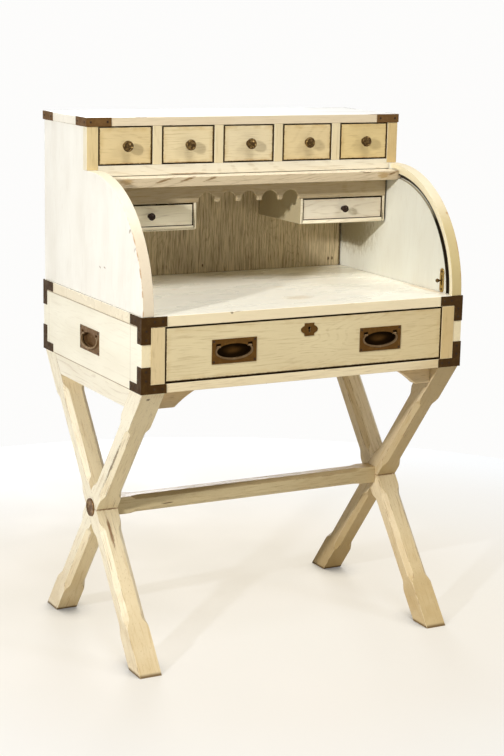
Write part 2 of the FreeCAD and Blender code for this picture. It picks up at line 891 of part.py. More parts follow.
def slat_count():
    """Enough slats to close the quarter circle, or as many as the groove behind has room for."""
    quarter = math.radians(90 - rail_lead_deg - rail_trail_deg)
    start, straight, bend = roll_runs()
    room = straight + bend * math.pi / 2 + groove_corner_z - groove_end_z - canvas_tail
    return min(int(groove_radius * quarter / slat_pitch) + spare_slat_count, int(room / slat_pitch))


def tambour_slat(index):
    """One slat across the desk with thinner ends that run in the grooves."""
    place, tangent, outward = roll_path((index + 1 / 2) * slat_pitch)
    half = upper_inner - roll_gap
    reach = half + tongue_reach
    tongue_lift = (slat_thickness - tongue_thickness) / 2
    solids = []
    body = (half, slat_width, 0, slat_thickness)
    tongue = (reach, tongue_width, tongue_lift, tongue_lift + tongue_thickness)
    for x, width, low, high in (body, tongue):
        a = place - tangent * (width / 2) - ACROSS * x
        b = place + tangent * (width / 2) - ACROSS * x
        points = [a + outward * low, b + outward * low, b + outward * high, a + outward * high]
        solids.append(prism(points, ACROSS * (2 * x)))
    return solids[0].fuse(solids[1]).removeSplitter()


def tambour_canvas():
    """Canvas on the backs of the slats, round the same corner."""
    half = upper_inner - roll_gap
    inner = []
    outer = []
    end = slat_count() * slat_pitch + canvas_tail
    start, straight, bend = roll_runs()
    stations = [0, straight, straight + bend * math.pi / 4, straight + bend * math.pi / 2, end]
    for distance in stations:
        place, tangent, outward = roll_path(distance)
        outer.append(place - ACROSS * half)
        inner.append(place - outward * canvas_thickness - ACROSS * half)
    edges = []
    for line in (outer, inner):
        edges.append(Part.makeLine(line[0], line[1]))
        edges.append(Part.Arc(line[1], line[2], line[3]).toShape())
        edges.append(Part.makeLine(line[3], line[4]))
    edges.append(Part.makeLine(outer[0], inner[0]))
    edges.append(Part.makeLine(outer[4], inner[4]))
    wire = Part.Wire(Part.__sortEdges__(edges))
    return Part.Face(wire).extrude(ACROSS * (2 * half))


def end_post():
    """Right-hand front post of the top box."""
    return block(post_inner, post_outer, top_front_y, top_front_y + post_depth, rim_top, top_underside)


def shelf():
    board = block(-upper_inner, upper_inner, top_front_y, outer_back_y, shelf_underside, shelf_top)
    return board.cut(end_post()).cut(mirrored(end_post()))


def top_pitch():
    """Distance between the middles of the top drawers."""
    return (2 * post_inner + divider_width) / top_drawer_count


def top_drawer_centre(index):
    return (index - (top_drawer_count - 1) / 2) * top_pitch()


def top_dividers():
    solids = [end_post(), mirrored(end_post())]
    for index in range(top_drawer_count - 1):
        x = top_drawer_centre(index) + top_pitch() / 2
        half = divider_width / 2
        solids.append(block(x - half, x + half, top_front_y, outer_back_y, shelf_top, top_underside))
    return solids


def top_board():
    half = half_width - top_board_inset
    return block(-half, half, top_front_y, back_y, top_underside, overall_height)


def knob(radius, projection, stud):
    """Turned knob standing out of a face at y = 0, with its stud behind."""
    points = [V(0, 0, 0)] + [V(radius * r, -projection * p, 0) for r, p in knob_outline_shares]
    points.append(V(0, -projection, 0))
    turned = Part.Face(Part.makePolygon(points + points[:1])).revolve(V(0, 0, 0), BACKWARD, 360)
    return turned.fuse(Part.makeCylinder(knob_stud_radius, stud, V(0, 0, 0), BACKWARD))


def stud_hole(thickness):
    return Part.makeCylinder(knob_stud_radius + pin_gap, thickness, V(0, 0, 0), BACKWARD)


def moved_all(solids, offset):
    for solid in solids:
        solid.translate(offset)
    return solids


def small_drawer(half, low, high, front_thickness, depth, floor):
    """A small drawer with its front at y = 0 and its middle on the Y axis."""
    front = block(-half, half, 0, front_thickness, low, high)
    hole = stud_hole(front_thickness)
    hole.translate(UP * ((low + high) / 2))
    boards = tray(
        half, small_board, front_thickness, depth, floor, high - small_side_drop,
        small_bottom_lift, small_bottom_board,
    )
    return [front.cut(hole), *boards]


def top_drawer(index):
    half = (top_pitch() - divider_width) / 2 - top_front_gap
    low = shelf_top + top_front_gap_below
    high = top_underside - top_front_gap
    solids = small_drawer(half, low, high, top_front_thickness, top_drawer_depth, shelf_top + slide_gap)
    return moved_all(solids, V(top_drawer_centre(index), top_front_y, 0))


def top_knob(index):
    shape = knob(top_knob_radius, top_knob_projection, top_front_thickness)
    low = shelf_top + top_front_gap_below
    high = top_underside - top_front_gap
    shape.translate(V(top_drawer_centre(index), top_front_y, (low + high) / 2))
    return shape


def gallery_boxes():
    """Left and right edges of the two drawer boxes."""
    return (opening_left - box_width, opening_left), (opening_right, opening_right + box_width)


def apron():
    """Scalloped apron across the front of the gallery."""
    end = gallery_front_y + apron_thickness
    board = block(gallery_left, gallery_right, gallery_front_y, end, apron_bottom, apron_top)
    arch_count = max(1, round((opening_right - opening_left) / (2 * arch_radius + arch_tip)))
    pitch = (opening_right - opening_left) / arch_count
    for index in range(arch_count):
        centre = V(opening_left + (index + 1 / 2) * pitch, gallery_front_y - cut_overrun, apron_bottom)
        board = board.cut(Part.makeCylinder(arch_radius, apron_thickness + 2 * cut_overrun, centre, BACKWARD))
    return board


def gallery_top():
    start = gallery_front_y + apron_thickness
    low = gallery_top_height - gallery_board
    return block(gallery_left, gallery_right, start, gallery_back_y, low, gallery_top_height)


def gallery_box(x0, x1):
    """Two sides and the bottom of a drawer box that hangs under the gallery top."""
    top = gallery_top_height - gallery_board
    behind = gallery_front_y + apron_thickness
    boards = []
    for low in (x0, x1 - box_side):
        side = block(low, low + box_side, gallery_front_y, gallery_back_y, box_underside, apron_bottom)
        upper = block(low, low + box_side, behind, gallery_back_y, apron_bottom, top)
        boards.append(side.fuse(upper).removeSplitter())
    floor = box_underside + box_bottom
    boards.append(block(x0 + box_side, x1 - box_side, gallery_front_y, gallery_back_y, box_underside, floor))
    return boards


def hanging_drawer(x0, x1):
    half = (x1 - x0) / 2 - box_side - small_front_gap
    floor = box_underside + box_bottom
    solids = small_drawer(
        half, floor + small_front_gap, apron_bottom - small_front_gap_above, small_front_thickness,
        small_drawer_depth, floor + slide_gap,
    )
    return moved_all(solids, V((x0 + x1) / 2, gallery_front_y + small_front_setback, 0))


def hanging_knob(x0, x1):
    shape = knob(small_knob_radius, small_knob_projection, small_front_thickness)
    low = box_underside + box_bottom + small_front_gap
    high = apron_bottom - small_front_gap_above
    shape.translate(V((x0 + x1) / 2, gallery_front_y + small_front_setback, (low + high) / 2))
    return shape


def back_panel():
    half = upper_inner - back_panel_gap
    end = gallery_back_y + back_panel_thickness
    return block(-half, half, gallery_back_y, end, writing_height, gallery_top_height)


def outer_back():
    return block(-upper_inner, upper_inner, outer_back_y, back_y, writing_height, top_underside)


def catch_centre():
    return V(upper_inner, front_y + catch_setback, writing_height + catch_height / 2)


def catch_screw_places():
    reach = catch_height / 2 - catch_screw_inset
    inset = ACROSS * (catch_plate_thickness - metal_thickness)
    return [catch_centre() - inset + UP * (reach * side) for side in (-1, 1)]


def catch_plate():
    """Round-ended brass plate with an upright slot for the bolt's stem."""
    centre = catch_centre()
    radius = catch_width / 2
    straight = catch_height / 2 - radius
    start = centre - ACROSS * catch_plate_thickness
    plate = block(
        start.x, centre.x, centre.y - radius, centre.y + radius, centre.z - straight, centre.z + straight
    )
    for side in (-1, 1):
        end = start + UP * (straight * side)
        plate = plate.fuse(Part.makeCylinder(radius, catch_plate_thickness, end, ACROSS))
    slot_half = catch_slot_width / 2
    slot_reach = catch_slot_height / 2
    slot = block(
        start.x, centre.x, centre.y - slot_half, centre.y + slot_half,
        centre.z - slot_reach, centre.z + slot_reach,
    )
    plate = plate.removeSplitter().cut(slot)
    for place in catch_screw_places():
        plate = plate.cut(screw_hole(place, -ACROSS))
    return plate


def catch_bolt():
    """Bolt behind the plate, with a stem through the slot and a ball knob."""
    centre = catch_centre()
    half_width_y = catch_bolt_width / 2
    half_height = catch_bolt_height / 2
    start = centre.x + slide_gap
    body = block(
        start, start + catch_bolt_thickness, centre.y - half_width_y, centre.y + half_width_y,
        centre.z - half_height, centre.z + half_height,
    )
    tip = centre - ACROSS * catch_knob_reach
    stem = Part.makeCylinder(catch_stem_radius, catch_knob_reach + catch_bolt_thickness, tip, ACROSS)
    ball = Part.makeSphere(catch_knob_radius, tip, ACROSS)
    return body.fuse(stem).fuse(ball)


def handle_screws():
    right = [on_right_end(one) for one in pull_screws()]
    return right + [mirrored(one) for one in right]


def build():
    os.makedirs("parts", exist_ok=True)

    rising, falling = leg_pair()
    save("leg_right_front_foot", rising)
    save("leg_right_back_foot", falling)
    save("leg_left_front_foot", mirrored(rising))
    save("leg_left_back_foot", mirrored(falling))
    save("leg_rails", leg_rail(), mirrored(leg_rail()))
    save("stretcher", stretcher())
    save("knee_brackets", knee_bracket(), mirrored(knee_bracket()))
    save("cross_bolts", cross_bolt(), mirrored(cross_bolt()))

    save("writing_slab", writing_slab())
    save("case_side_right", case_side())
    save("case_side_left", mirrored(case_side()))
    save("case_back", case_back())
    save("case_bottom", case_bottom())
    save("front_frame", *front_frame())
    save("drawer_runners", *drawer_runners())
    save("case_brackets", *case_brackets())
    catch_screws = [screw(place, -ACROSS) for place in catch_screw_places()]
    save("brass_screws", *bracket_screws(), *strap_screws(), *handle_screws(), *catch_screws)

    side_a, side_b, back, bottom = wide_drawer_tray()
    save("drawer_front", drawer_front())
    save("drawer_box", side_a, side_b, back)
    save("drawer_bottom", bottom)
    save("pull_plates", on_drawer(pull_plate(), -1), on_drawer(pull_plate(), 1))
    save("pull_screws", *[on_drawer(one, side) for side in (-1, 1) for one in pull_screws()])
    save("pull_bail_left", on_drawer(bail(), -1))
    save("pull_bail_right", on_drawer(bail(), 1))
    save("escutcheon", escutcheon())
    save("lock_case", lock_case())
    save("lock_bolt", lock_bolt())

    save("handle_plates", on_right_end(pull_plate()), mirrored(on_right_end(pull_plate())))
    save("handle_bail_right", on_right_end(lifted_bail()))
    save("handle_bail_left", mirrored(on_right_end(lifted_bail())))

    save("upper_side_right", upper_side().cut(catch_mortise()))
    save("upper_side_left", mirrored(upper_side()))
    save("roll_rail", roll_rail())
    save("tambour_slats", *[tambour_slat(index) for index in range(slat_count())])
    save("tambour_canvas", tambour_canvas())

    save("shelf", shelf())
    save("top_dividers", *top_dividers())
    save("top_board", top_board())
    save("top_straps", *at_top_corners(top_strap()))
    for index in range(top_drawer_count):
        save(f"top_drawer_{index + 1}", *top_drawer(index))
        save(f"top_knob_{index + 1}", top_knob(index))

    save("outer_back", outer_back())
    save("back_panel", back_panel())
    save("apron", apron())
    save("gallery_top", gallery_top())
    save("gallery_boxes", *[board for ends in gallery_boxes() for board in gallery_box(*ends)])
    for name, ends in zip(("left", "right"), gallery_boxes()):
        save(f"small_drawer_{name}", *hanging_drawer(*ends))
        save(f"small_knob_{name}", hanging_knob(*ends))

    save("catch_plate", catch_plate())
    save("catch_bolt", catch_bolt())


build()
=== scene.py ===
import math

import bmesh
import bpy
from mathutils import Matrix, Vector


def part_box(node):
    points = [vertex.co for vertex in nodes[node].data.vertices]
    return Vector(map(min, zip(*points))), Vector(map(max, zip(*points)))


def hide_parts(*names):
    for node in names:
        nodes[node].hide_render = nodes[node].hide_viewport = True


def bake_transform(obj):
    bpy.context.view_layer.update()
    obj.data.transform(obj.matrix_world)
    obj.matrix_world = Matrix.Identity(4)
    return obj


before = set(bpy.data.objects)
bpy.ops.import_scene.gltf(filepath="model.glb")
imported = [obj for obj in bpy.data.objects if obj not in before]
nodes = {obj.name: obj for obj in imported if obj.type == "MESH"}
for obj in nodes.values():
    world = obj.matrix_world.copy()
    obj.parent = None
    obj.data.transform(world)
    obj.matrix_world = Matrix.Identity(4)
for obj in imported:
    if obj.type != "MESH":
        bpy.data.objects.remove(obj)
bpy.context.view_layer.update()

# The photograph's camera, in metres
camera_place = Vector((-1.77937, -3.33087, 1.36303))
camera_forward = Vector((0.46244, 0.86139, -0.21013))
camera_roll = math.radians(1.22)
camera_lens = 82.76
camera_sensor = 36.0

# Light: a lamp low on the left, one above on the right, a wide one overhead, one behind, and an even room
room_light = 0.13
room_tint = (1.0, 0.995, 0.985, 1)
white_level = 0.98
lamp_target = Vector((0, 0, 0.85))
lamps = {
    "left_lamp": {"travel": (0.864, 0.409, -0.306), "level": 0.79, "size": 0.17, "distance": 4.0},
    "right_lamp": {"travel": (-0.65, 0.50, -0.57), "level": 0.27, "size": 0.70, "distance": 3.2},
    "top_lamp": {"travel": (0.10, 0.45, -0.89), "level": 0.62, "size": 2.20, "distance": 5.0},
    "back_lamp": {"travel": (-0.34, -0.94, -0.06), "level": 0.55, "size": 1.60, "distance": 4.0},
}

# The floor: a disc that lights the desk as a cream one would, and glows where it is seen, with painted shade
# near the desk and a painted contact shadow where the desk shuts it in
floor_radius = 1.65
floor_sides = 128
floor_cream = (0.80, 0.76, 0.68)
floor_tints = ((0.160, 0.170, 0.195), (0.175, 0.190, 0.215))
floor_glow = 0.69
contact_shadow_glow = floor_glow * 0.15
contact_shadow_reach = 0.07
glow_near = (1.0, 0.90, 0.72)
glow_far = (1.06, 1.02, 0.93)
glow_rim = (1.14, 1.14, 1.12)

# Paint on oak, linear colours
cream = (0.84, 0.72, 0.46)
ledge_cream = (0.84, 0.785, 0.60)
face_white = (0.95, 0.92, 0.83)
bare_oak = (0.52, 0.38, 0.20)
plain_oak = (0.66, 0.55, 0.36)
grain_brown = (0.34, 0.22, 0.09)
wear_brown = (0.24, 0.13, 0.05)
rub_brown = (0.45, 0.24, 0.09)
# Dark brown for dirt marks, and for painted shade in corners and gaps
grime_and_shade = (0.10, 0.055, 0.02)
# Painted shade for the gaps round drawers
gap_shade_brown = (0.055, 0.024, 0.005)
groove_shade_black = (0.02, 0.012, 0.006)
hollow_shade_black = (0.010, 0.005, 0.002)
# Near black for dirt and painted shade where brass is shut in
brass_dirt = (0.02, 0.01, 0.004)

# Shares of painted shade in the gap round a drawer, on its board's edges and in the dark strips along its
# edges
gap_shade_share = 0.95
board_edge_shade_share = 0.92
edge_strip_shade_share = 0.9

# Turns that bring a board's grain upright, for boards that run across, front to back or up
grain_across = (0, math.pi / 2, 0)
grain_backward = (math.pi / 2, 0, 0)
grain_upright = (0, 0, 0)
rail_grain = (0, math.pi / 2 - 0.12, 0)
leg_run_share = 0.89

# Sizes of what makes up the grain, twice across it and then along it
cloud_size = (0.055, 0.055, 0.16)
contour_size = (0.075, 0.075, 0.42)
streak_size = (0.0024, 0.0024, 0.060)
pore_size = (0.0009, 0.0009, 0.016)
panel_pore_size = (0.0013, 0.0013, 0.034)
dense_size = (0.0014, 0.0014, 0.05)
crack_size = (0.0030, 0.0030, 0.11)
speck_size = (0.0024, 0.0024, 0.0042)
bare_size = (0.006, 0.006, 0.035)
brush_size = (0.0006, 0.0006, 0.02)
thread_pitch = 0.0016

# Depth of the relief, and how far painted shade reaches out of a corner
pore_depth = 0.0004
brush_depth = 0.0002
thread_depth = 0.0003
wood_shade_reach = 0.010
brass_shade_reach = 0.004

# The lean at which a face takes another tint, and the part of a noise that most of it lies in
leaning = (0.5, 0.85)
noise_span = (0.3, 0.7)

# Places where paint changes, dirt gathers and painted shade lies
rail_joint_z = 0.5985
stile_edge = 0.328
post_edge = 0.325
case_end = 0.379
joint_half_width = 0.0009
opening_reach = 0.0042
strip_blur = 0.0003
strip_wave = 0.0004
sole_clean = 0.008
sole_dirty = 0.002
panel_depth = 0.006
shoulder_z = 0.98
rubbed_z = 0.89
arris_depth = 0.002
arris_width = 0.0016
pan_start = 0.0022
pan_full = 0.0036

# Rounding of arrises
plain_arris = 0.0009
weld_reach = 1e-6
flat_angle = math.radians(0.3)
arris_angle = math.radians(38)
flat_weight = 80

# The roll: its circle, its groove and the lip beyond it
roll_centre_z = 0.756
roll_radius = 0.235
roll_groove_half = 0.0042
lip_start = roll_radius + roll_groove_half + 0.0028
line_blur = 0.0007
groove_top_z = 0.985
groove_foot_z = 0.84
groove_top_shade = 0.0018
groove_foot_shade = 0.0066

# The roll's slats and cloth, gathered behind its rail and drawn out with it
slat_pitch = 0.0142
slat_thickness = 0.008
slat_back = roll_radius - slat_thickness / 2
slat_angle = math.degrees(slat_pitch / roll_radius)
slat_gap_angle = slat_angle * 0.08
slat_profile = ((1.0, 0.55), (0.8, 0.82), (0.4, 0.97), (-0.4, 0.97), (-0.8, 0.82), (-1.0, 0.55))
cloth_thickness = 0.0008
cloth_steps = 60
rest_back_angle = -13.0
rest_rail_angle = -5.2
closing_angle = 84.2
drawn_rail_angle = closing_angle + rest_rail_angle
halvings = 40


class Look:
    """A material's node tree, with a short call for each kind of node that it uses."""

    def __init__(self, name):
        self.material = bpy.data.materials.new(name)
        self.material.use_nodes = True
        self.tree = self.material.node_tree
        self.shader = self.tree.nodes["Principled BSDF"]
        coordinates = self.tree.nodes.new("ShaderNodeTexCoord")
        self.place = coordinates.outputs["Object"]
        self.facing = coordinates.outputs["Normal"]

    def put(self, value, socket):
        if isinstance(value, bpy.types.NodeSocket):
            self.tree.links.new(value, socket)
        elif isinstance(value, tuple) and socket.type == "RGBA":
            socket.default_value = (*value, 1)
        else:
            socket.default_value = value

    def math(self, operation, a, b=0.0):
        node = self.tree.nodes.new("ShaderNodeMath")
        node.operation = operation
        self.put(a, node.inputs[0])
        self.put(b, node.inputs[1])
        return node.outputs[0]

    def joined(self, operation, values):
        """Several values made into one by the same operation."""
        total, *others = values
        for value in others:
            total = self.math(operation, total, value)
        return total

    def vector(self, operation, a, b=(0, 0, 0)):
        node = self.tree.nodes.new("ShaderNodeVectorMath")
        node.operation = operation
        self.put(a, node.inputs[0])
        self.put(b, node.inputs[1])
        return node.outputs["Value" if operation in ("LENGTH", "DISTANCE") else "Vector"]

    def part(self, vector, axis):
        node = self.tree.nodes.new("ShaderNodeSeparateXYZ")
        self.put(vector, node.inputs[0])
        return node.outputs[axis]

    def fitted(self, vector, centre, turn, size):
        """Coordinates in a box of this place, turn and size."""
        node = self.tree.nodes.new("ShaderNodeMapping")
        node.vector_type = "TEXTURE"
        self.put(vector, node.inputs["Vector"])
        node.inputs["Location"].default_value = centre
        node.inputs["Rotation"].default_value = turn
        node.inputs["Scale"].default_value = size
        return node.outputs[0]

    def noise(self, vector, scale=1.0, detail=2.0, roughness=0.5, distortion=0.0):
        node = self.tree.nodes.new("ShaderNodeTexNoise")
        self.put(vector, node.inputs["Vector"])
        node.inputs["Scale"].default_value = scale
        node.inputs["Detail"].default_value = detail
        node.inputs["Roughness"].default_value = roughness
        node.inputs["Distortion"].default_value = distortion
        return node.outputs["Fac"]

    def band(self, value, low, high, least=0.0, most=1.0):
        """A smooth step from least to most as the value goes from low to high."""
        node = self.tree.nodes.new("ShaderNodeMapRange")
        node.interpolation_type = "SMOOTHSTEP"
        for socket, amount in zip(node.inputs, (value, low, high, least, most)):
            self.put(amount, socket)
        return node.outputs[0]

    def mix(self, share, a, b):
        node = self.tree.nodes.new("ShaderNodeMix")
        node.data_type = "RGBA"
        self.put(share, node.inputs[0])
        self.put(a, node.inputs[6])
        self.put(b, node.inputs[7])
        return node.outputs[2]

    def aside(self):
        """Distance of a point from the upright plane through the middle of the desk."""
        return self.math("ABSOLUTE", self.part(self.place, 0))

    def sideways(self, low, high):
        """How far a face looks to either end of the desk."""
        return self.band(self.math("ABSOLUTE", self.part(self.facing, 0)), low, high)

    def off_front(self):
        """How far a face turns away from the front of the desk."""
        return self.band(self.part(self.facing, 1), -0.8, -0.5)

    def nearby(self, distance):
        """How far a point is shut in by what lies close to it."""
        node = self.tree.nodes.new("ShaderNodeAmbientOcclusion")
        node.samples = 6
        node.inputs["Distance"].default_value = distance
        return self.math("SUBTRACT", 1.0, node.outputs["AO"])

    def raised(self, height, depth, strength):
        node = self.tree.nodes.new("ShaderNodeBump")
        node.inputs["Strength"].default_value = strength
        node.inputs["Distance"].default_value = depth
        self.put(height, node.inputs["Height"])
        self.put(node.outputs[0], self.shader.inputs["Normal"])

    def finish(self, colour, roughness, **uniform):
        self.put(colour, self.shader.inputs["Base Color"])
        self.put(roughness, self.shader.inputs["Roughness"])
        for name, value in uniform.items():
            self.shader.inputs[name.replace("_", " ")].default_value = value
        return self.material


def seed(name):
    """A place in the grain that differs from piece to piece and is the same each run."""
    total = sum((index + 1) * ord(letter) for index, letter in enumerate(name))
    return Vector((total % 17, total % 23, total % 29)) * 0.37


def face_tints(look, front, side, inner, top, ends):
    """The paint's tint by the way a face looks and by how far out it lies; the tints by facing are in part
    painted light and shade.
    """
    colour = front
    if ends is not None:
        limit, tint = ends
        colour = look.mix(look.math("GREATER_THAN", look.aside(), limit), colour, tint)
    if side is not None:
        colour = look.mix(look.sideways(*leaning), colour, side)
    if inner is not None:
        limit, tint = inner
        within = look.math("LESS_THAN", look.aside(), limit)
        colour = look.mix(look.math("MULTIPLY", within, look.sideways(*leaning)), colour, tint)
    if top is not None:
        colour = look.mix(look.band(look.part(look.facing, 2), *leaning), colour, top)
    return colour


def covered(look, colour, dull, soiled):
    """The colour under layers of soil and painted shade, each a mask, a tint and a share, and how dull they
    leave it.
    """
    for mask, tint, share in soiled:
        amount = look.math("MULTIPLY", mask(look), share)
        colour = look.mix(amount, colour, tint)
        dull = look.math("MAXIMUM", dull, amount)
    return colour, dull


def wood(
    name, front, side=None, inner=None, top=None, ends=None, grain=grain_upright, grain_colour=grain_brown,
    streaks=0.3, figure=0.25, ring_count=16, pores=pore_size, dense=0.0, worn=0.0, cracks=0.0, specks=0.0,
    gloss=0.45, turned_beyond=None, soiled=(), marks=(), dirt=0.8,
):
    """Painted open-grained oak. A mark is a centre, a turn, a size, a tint and a share."""
    look = Look(name)
    place = look.place
    if turned_beyond is not None:
        upright = look.math("GREATER_THAN", look.aside(), turned_beyond)
        along = look.fitted(place, (0, 0, 0), grain_across, (1, 1, 1))
        place = look.mix(upright, along, place)
        grain = grain_upright
    shift = seed(name)

    def grown(size, **settings):
        return look.noise(look.fitted(place, shift, grain, size), **settings)

    colour = face_tints(look, front, side, inner, top, ends)
    cloud = grown(cloud_size, detail=3.0)
    mellow = look.mix(0.14, colour, grain_colour)
    colour = look.mix(look.band(cloud, 0.3, 0.75, 0.0, 0.8), colour, mellow)
    contour = grown(contour_size, detail=1.2, distortion=0.25)
    rings = look.math("SINE", look.math("MULTIPLY", contour, ring_count * math.tau))
    fine = grown(pores, detail=2.0)
    coarse = grown(streak_size, detail=3.0, roughness=0.6)
    ring_mask = look.math("MULTIPLY", look.band(rings, 0.45, 1.0), look.band(coarse, 0.40, 0.62))
    streak_mask = look.math("MULTIPLY", look.band(coarse, 0.53, 0.70), look.band(fine, 0.34, 0.6))
    pore_mask = look.band(fine, 0.60, 0.74)
    for mask, share in ((ring_mask, figure), (streak_mask, streaks), (pore_mask, streaks * 0.55)):
        colour = look.mix(look.math("MULTIPLY", mask, share), colour, grain_colour)
    layers = (
        (dense, dense_size, 3.0, 0.65, 0.42, 0.62, grain_colour),
        (cracks, crack_size, 2.0, 0.7, 0.66, 0.71, wear_brown),
        (specks, speck_size, 3.0, 0.6, 0.61, 0.70, wear_brown),
    )
    for share, size, detail, roughness, low, high, tint in layers:
        if share:
            layer = grown(size, detail=detail, roughness=roughness)
            colour = look.mix(look.band(layer, low, high, 0.0, share), colour, tint)
    if worn:
        patch = look.noise(look.fitted(look.place, shift, grain, bare_size), detail=4.0)
        bare = look.band(patch, 0.70 - 0.3 * worn, 0.78 - 0.3 * worn, 0.0, 0.85)
        colour = look.mix(bare, colour, wear_brown)
    for centre, turn, size, tint, share in marks:
        away = look.vector("LENGTH", look.fitted(look.place, centre, turn, size))
        ragged = look.math("ADD", away, look.band(fine, *noise_span, -0.35, 0.35))
        colour = look.mix(look.band(ragged, 1.0, 0.55, 0.0, share), colour, tint)
    # Painted shade: the colour darkens where nearby surfaces shut a point in, in corners, gaps and recesses
    corner_shade = look.math("MULTIPLY", look.band(look.nearby(wood_shade_reach), 0.42, 0.95), dirt)
    colour, dull = covered(look, look.mix(corner_shade, colour, grime_and_shade), corner_shade, soiled)
    look.put(look.band(dull, 0.0, 1.0, 0.24, 0.0), look.shader.inputs["Specular IOR Level"])
    height = look.math("SUBTRACT", 1.0, look.math("ADD", streak_mask, pore_mask))
    look.raised(height, pore_depth, 0.35)
    return look.finish(colour, look.band(cloud, 0.2, 0.8, gloss - 0.07, gloss + 0.1))


def seam(axis, level, beyond=None):
    """A mask for a thin joint line where a coordinate has this value, on faces beyond a distance sideways."""
    def mask(look):
        away = look.math("ABSOLUTE", look.math("SUBTRACT", look.part(look.place, axis), level))
        line = look.band(away, joint_half_width, joint_half_width * 0.5)
        if beyond is None:
            return line
        return look.math("MULTIPLY", line, look.math("GREATER_THAN", look.aside(), beyond))
    return mask


def board_edge_shade(node, thickness):
    """A mask for painted shade on the edges of a drawer's front board, inside its opening."""
    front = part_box(node)[0][1]

    def mask(look):
        near = look.math("LESS_THAN", look.part(look.place, 1), front + thickness)
        return look.math("MULTIPLY", near, look.off_front())
    return mask


def board_rim(node, reach):
    """A mask that grows towards the rim of a drawer's front, where hands and polish darken it."""
    low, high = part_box(node)

    def mask(look):
        gaps = []
        for axis in (0, 2):
            middle = (low[axis] + high[axis]) / 2
            half = (high[axis] - low[axis]) / 2
            away = look.math("ABSOLUTE", look.math("SUBTRACT", look.part(look.place, axis), middle))
            gaps.append(look.math("SUBTRACT", half, away))
        near = look.band(look.joined("MINIMUM", gaps), reach, 0.0)
        cloud = look.noise(look.place, 45.0, detail=3.0)
        return look.math("MULTIPLY", near, look.band(cloud, *noise_span))
    return mask


def edge_shade_strips(node, left, right, below):
    """A mask for dark strips along a board's front edges, painted shade that widens the gap line beside them.
    """
    low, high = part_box(node)

    def mask(look):
        x = look.part(look.place, 0)
        z = look.part(look.place, 2)
        gaps = (
            (look.math("SUBTRACT", x, low[0]), left),
            (look.math("SUBTRACT", high[0], x), right),
            (look.math("SUBTRACT", z, low[2]), below),
        )
        uneven = look.band(look.noise(look.place, 160.0, detail=2.0), *noise_span, -strip_wave, strip_wave)
        strips = []
        for gap, width in gaps:
            strips.append(look.band(look.math("ADD", gap, uneven), width + strip_blur, width - strip_blur))
        frontward = look.band(look.part(look.facing, 1), -0.3, -0.6)
        return look.math("MULTIPLY", look.joined("MAXIMUM", strips), frontward)
    return mask


def opening_shade(*drawers):
    """A mask for painted shade on the walls of the openings round these drawers."""
    def mask(look):
        insides = []
        for drawer in drawers:
            low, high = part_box(drawer)
            middle = [(a + b) / 2 for a, b in zip(low, high)]
            half = [(b - a) / 2 + opening_reach for a, b in zip(low, high)]
            local = look.vector("ABSOLUTE", look.fitted(look.place, middle, (0, 0, 0), half))
            within = [look.math("LESS_THAN", look.part(local, axis), 1.0) for axis in (0, 2)]
            insides.append(look.joined("MULTIPLY", within))
        return look.math("MULTIPLY", look.joined("MAXIMUM", insides), look.off_front())
    return mask


def fade(axis, none, full):
    """A mask that grows along an axis."""
    def mask(look):
        cloud = look.noise(look.place, 14.0, detail=3.0)
        return look.math("MULTIPLY", look.band(look.part(look.place, axis), none, full),
                         look.band(cloud, 0.2, 0.6, 0.6, 1.0))
    return mask


def roll_distance(look):
    """Distance of a point from the line that the roll turns about."""
    flat = look.vector("MULTIPLY", look.place, (0, 1, 1))
    return look.vector("DISTANCE", flat, (0, 0, roll_centre_z))


def panel_limit():
    """Distance from the desk's middle that parts the upper sides' inner faces from their outer ones."""
    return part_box("upper_side_right")[1][0] - panel_depth


def rim_inside(look):
    """A mask for the inner face of the upper sides along their quarter-round rim."""
    within = look.math("LESS_THAN", look.aside(), panel_limit())
    return look.math("MULTIPLY", within, look.math("LESS_THAN", look.part(look.place, 1), 0.0))


def roll_groove_shade(look):
    """A mask for painted shade in the outer half of the roll's groove and on the strip between it and the
    lip.
    """
    radius = roll_distance(look)
    inner = look.band(look.part(look.place, 2), groove_top_z, groove_foot_z,
                      roll_radius - groove_top_shade, roll_radius - groove_foot_shade)
    past = look.band(look.math("SUBTRACT", radius, inner), -line_blur, line_blur)
    short = look.band(radius, lip_start + line_blur, lip_start - line_blur)
    return look.joined("MULTIPLY", (past, short, rim_inside(look)))


def rim_lip(look):
    """A mask for the lip of the rim and the strip behind it, which are warmer than the panel."""
    beyond = look.band(roll_distance(look), lip_start - line_blur, lip_start + line_blur)
    return look.joined("MULTIPLY", (beyond, look.sideways(0.4, 0.7), rim_inside(look)))


def outer_arris(look):
    """A mask for the rim's outer arris, rubbed bare below its shoulder."""
    low_corner, high_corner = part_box("upper_side_right")
    masks = (
        look.math("GREATER_THAN", look.aside(), high_corner[0] - arris_depth),
        look.math("GREATER_THAN", roll_distance(look), -low_corner[1] - arris_width),
        look.math("LESS_THAN", look.part(look.place, 1), 0.0),
        look.band(look.part(look.place, 2), shoulder_z, rubbed_z),
        look.band(look.noise(look.place, 55.0, detail=4.0), 0.42, 0.60),
    )
    return look.joined("MULTIPLY", masks)


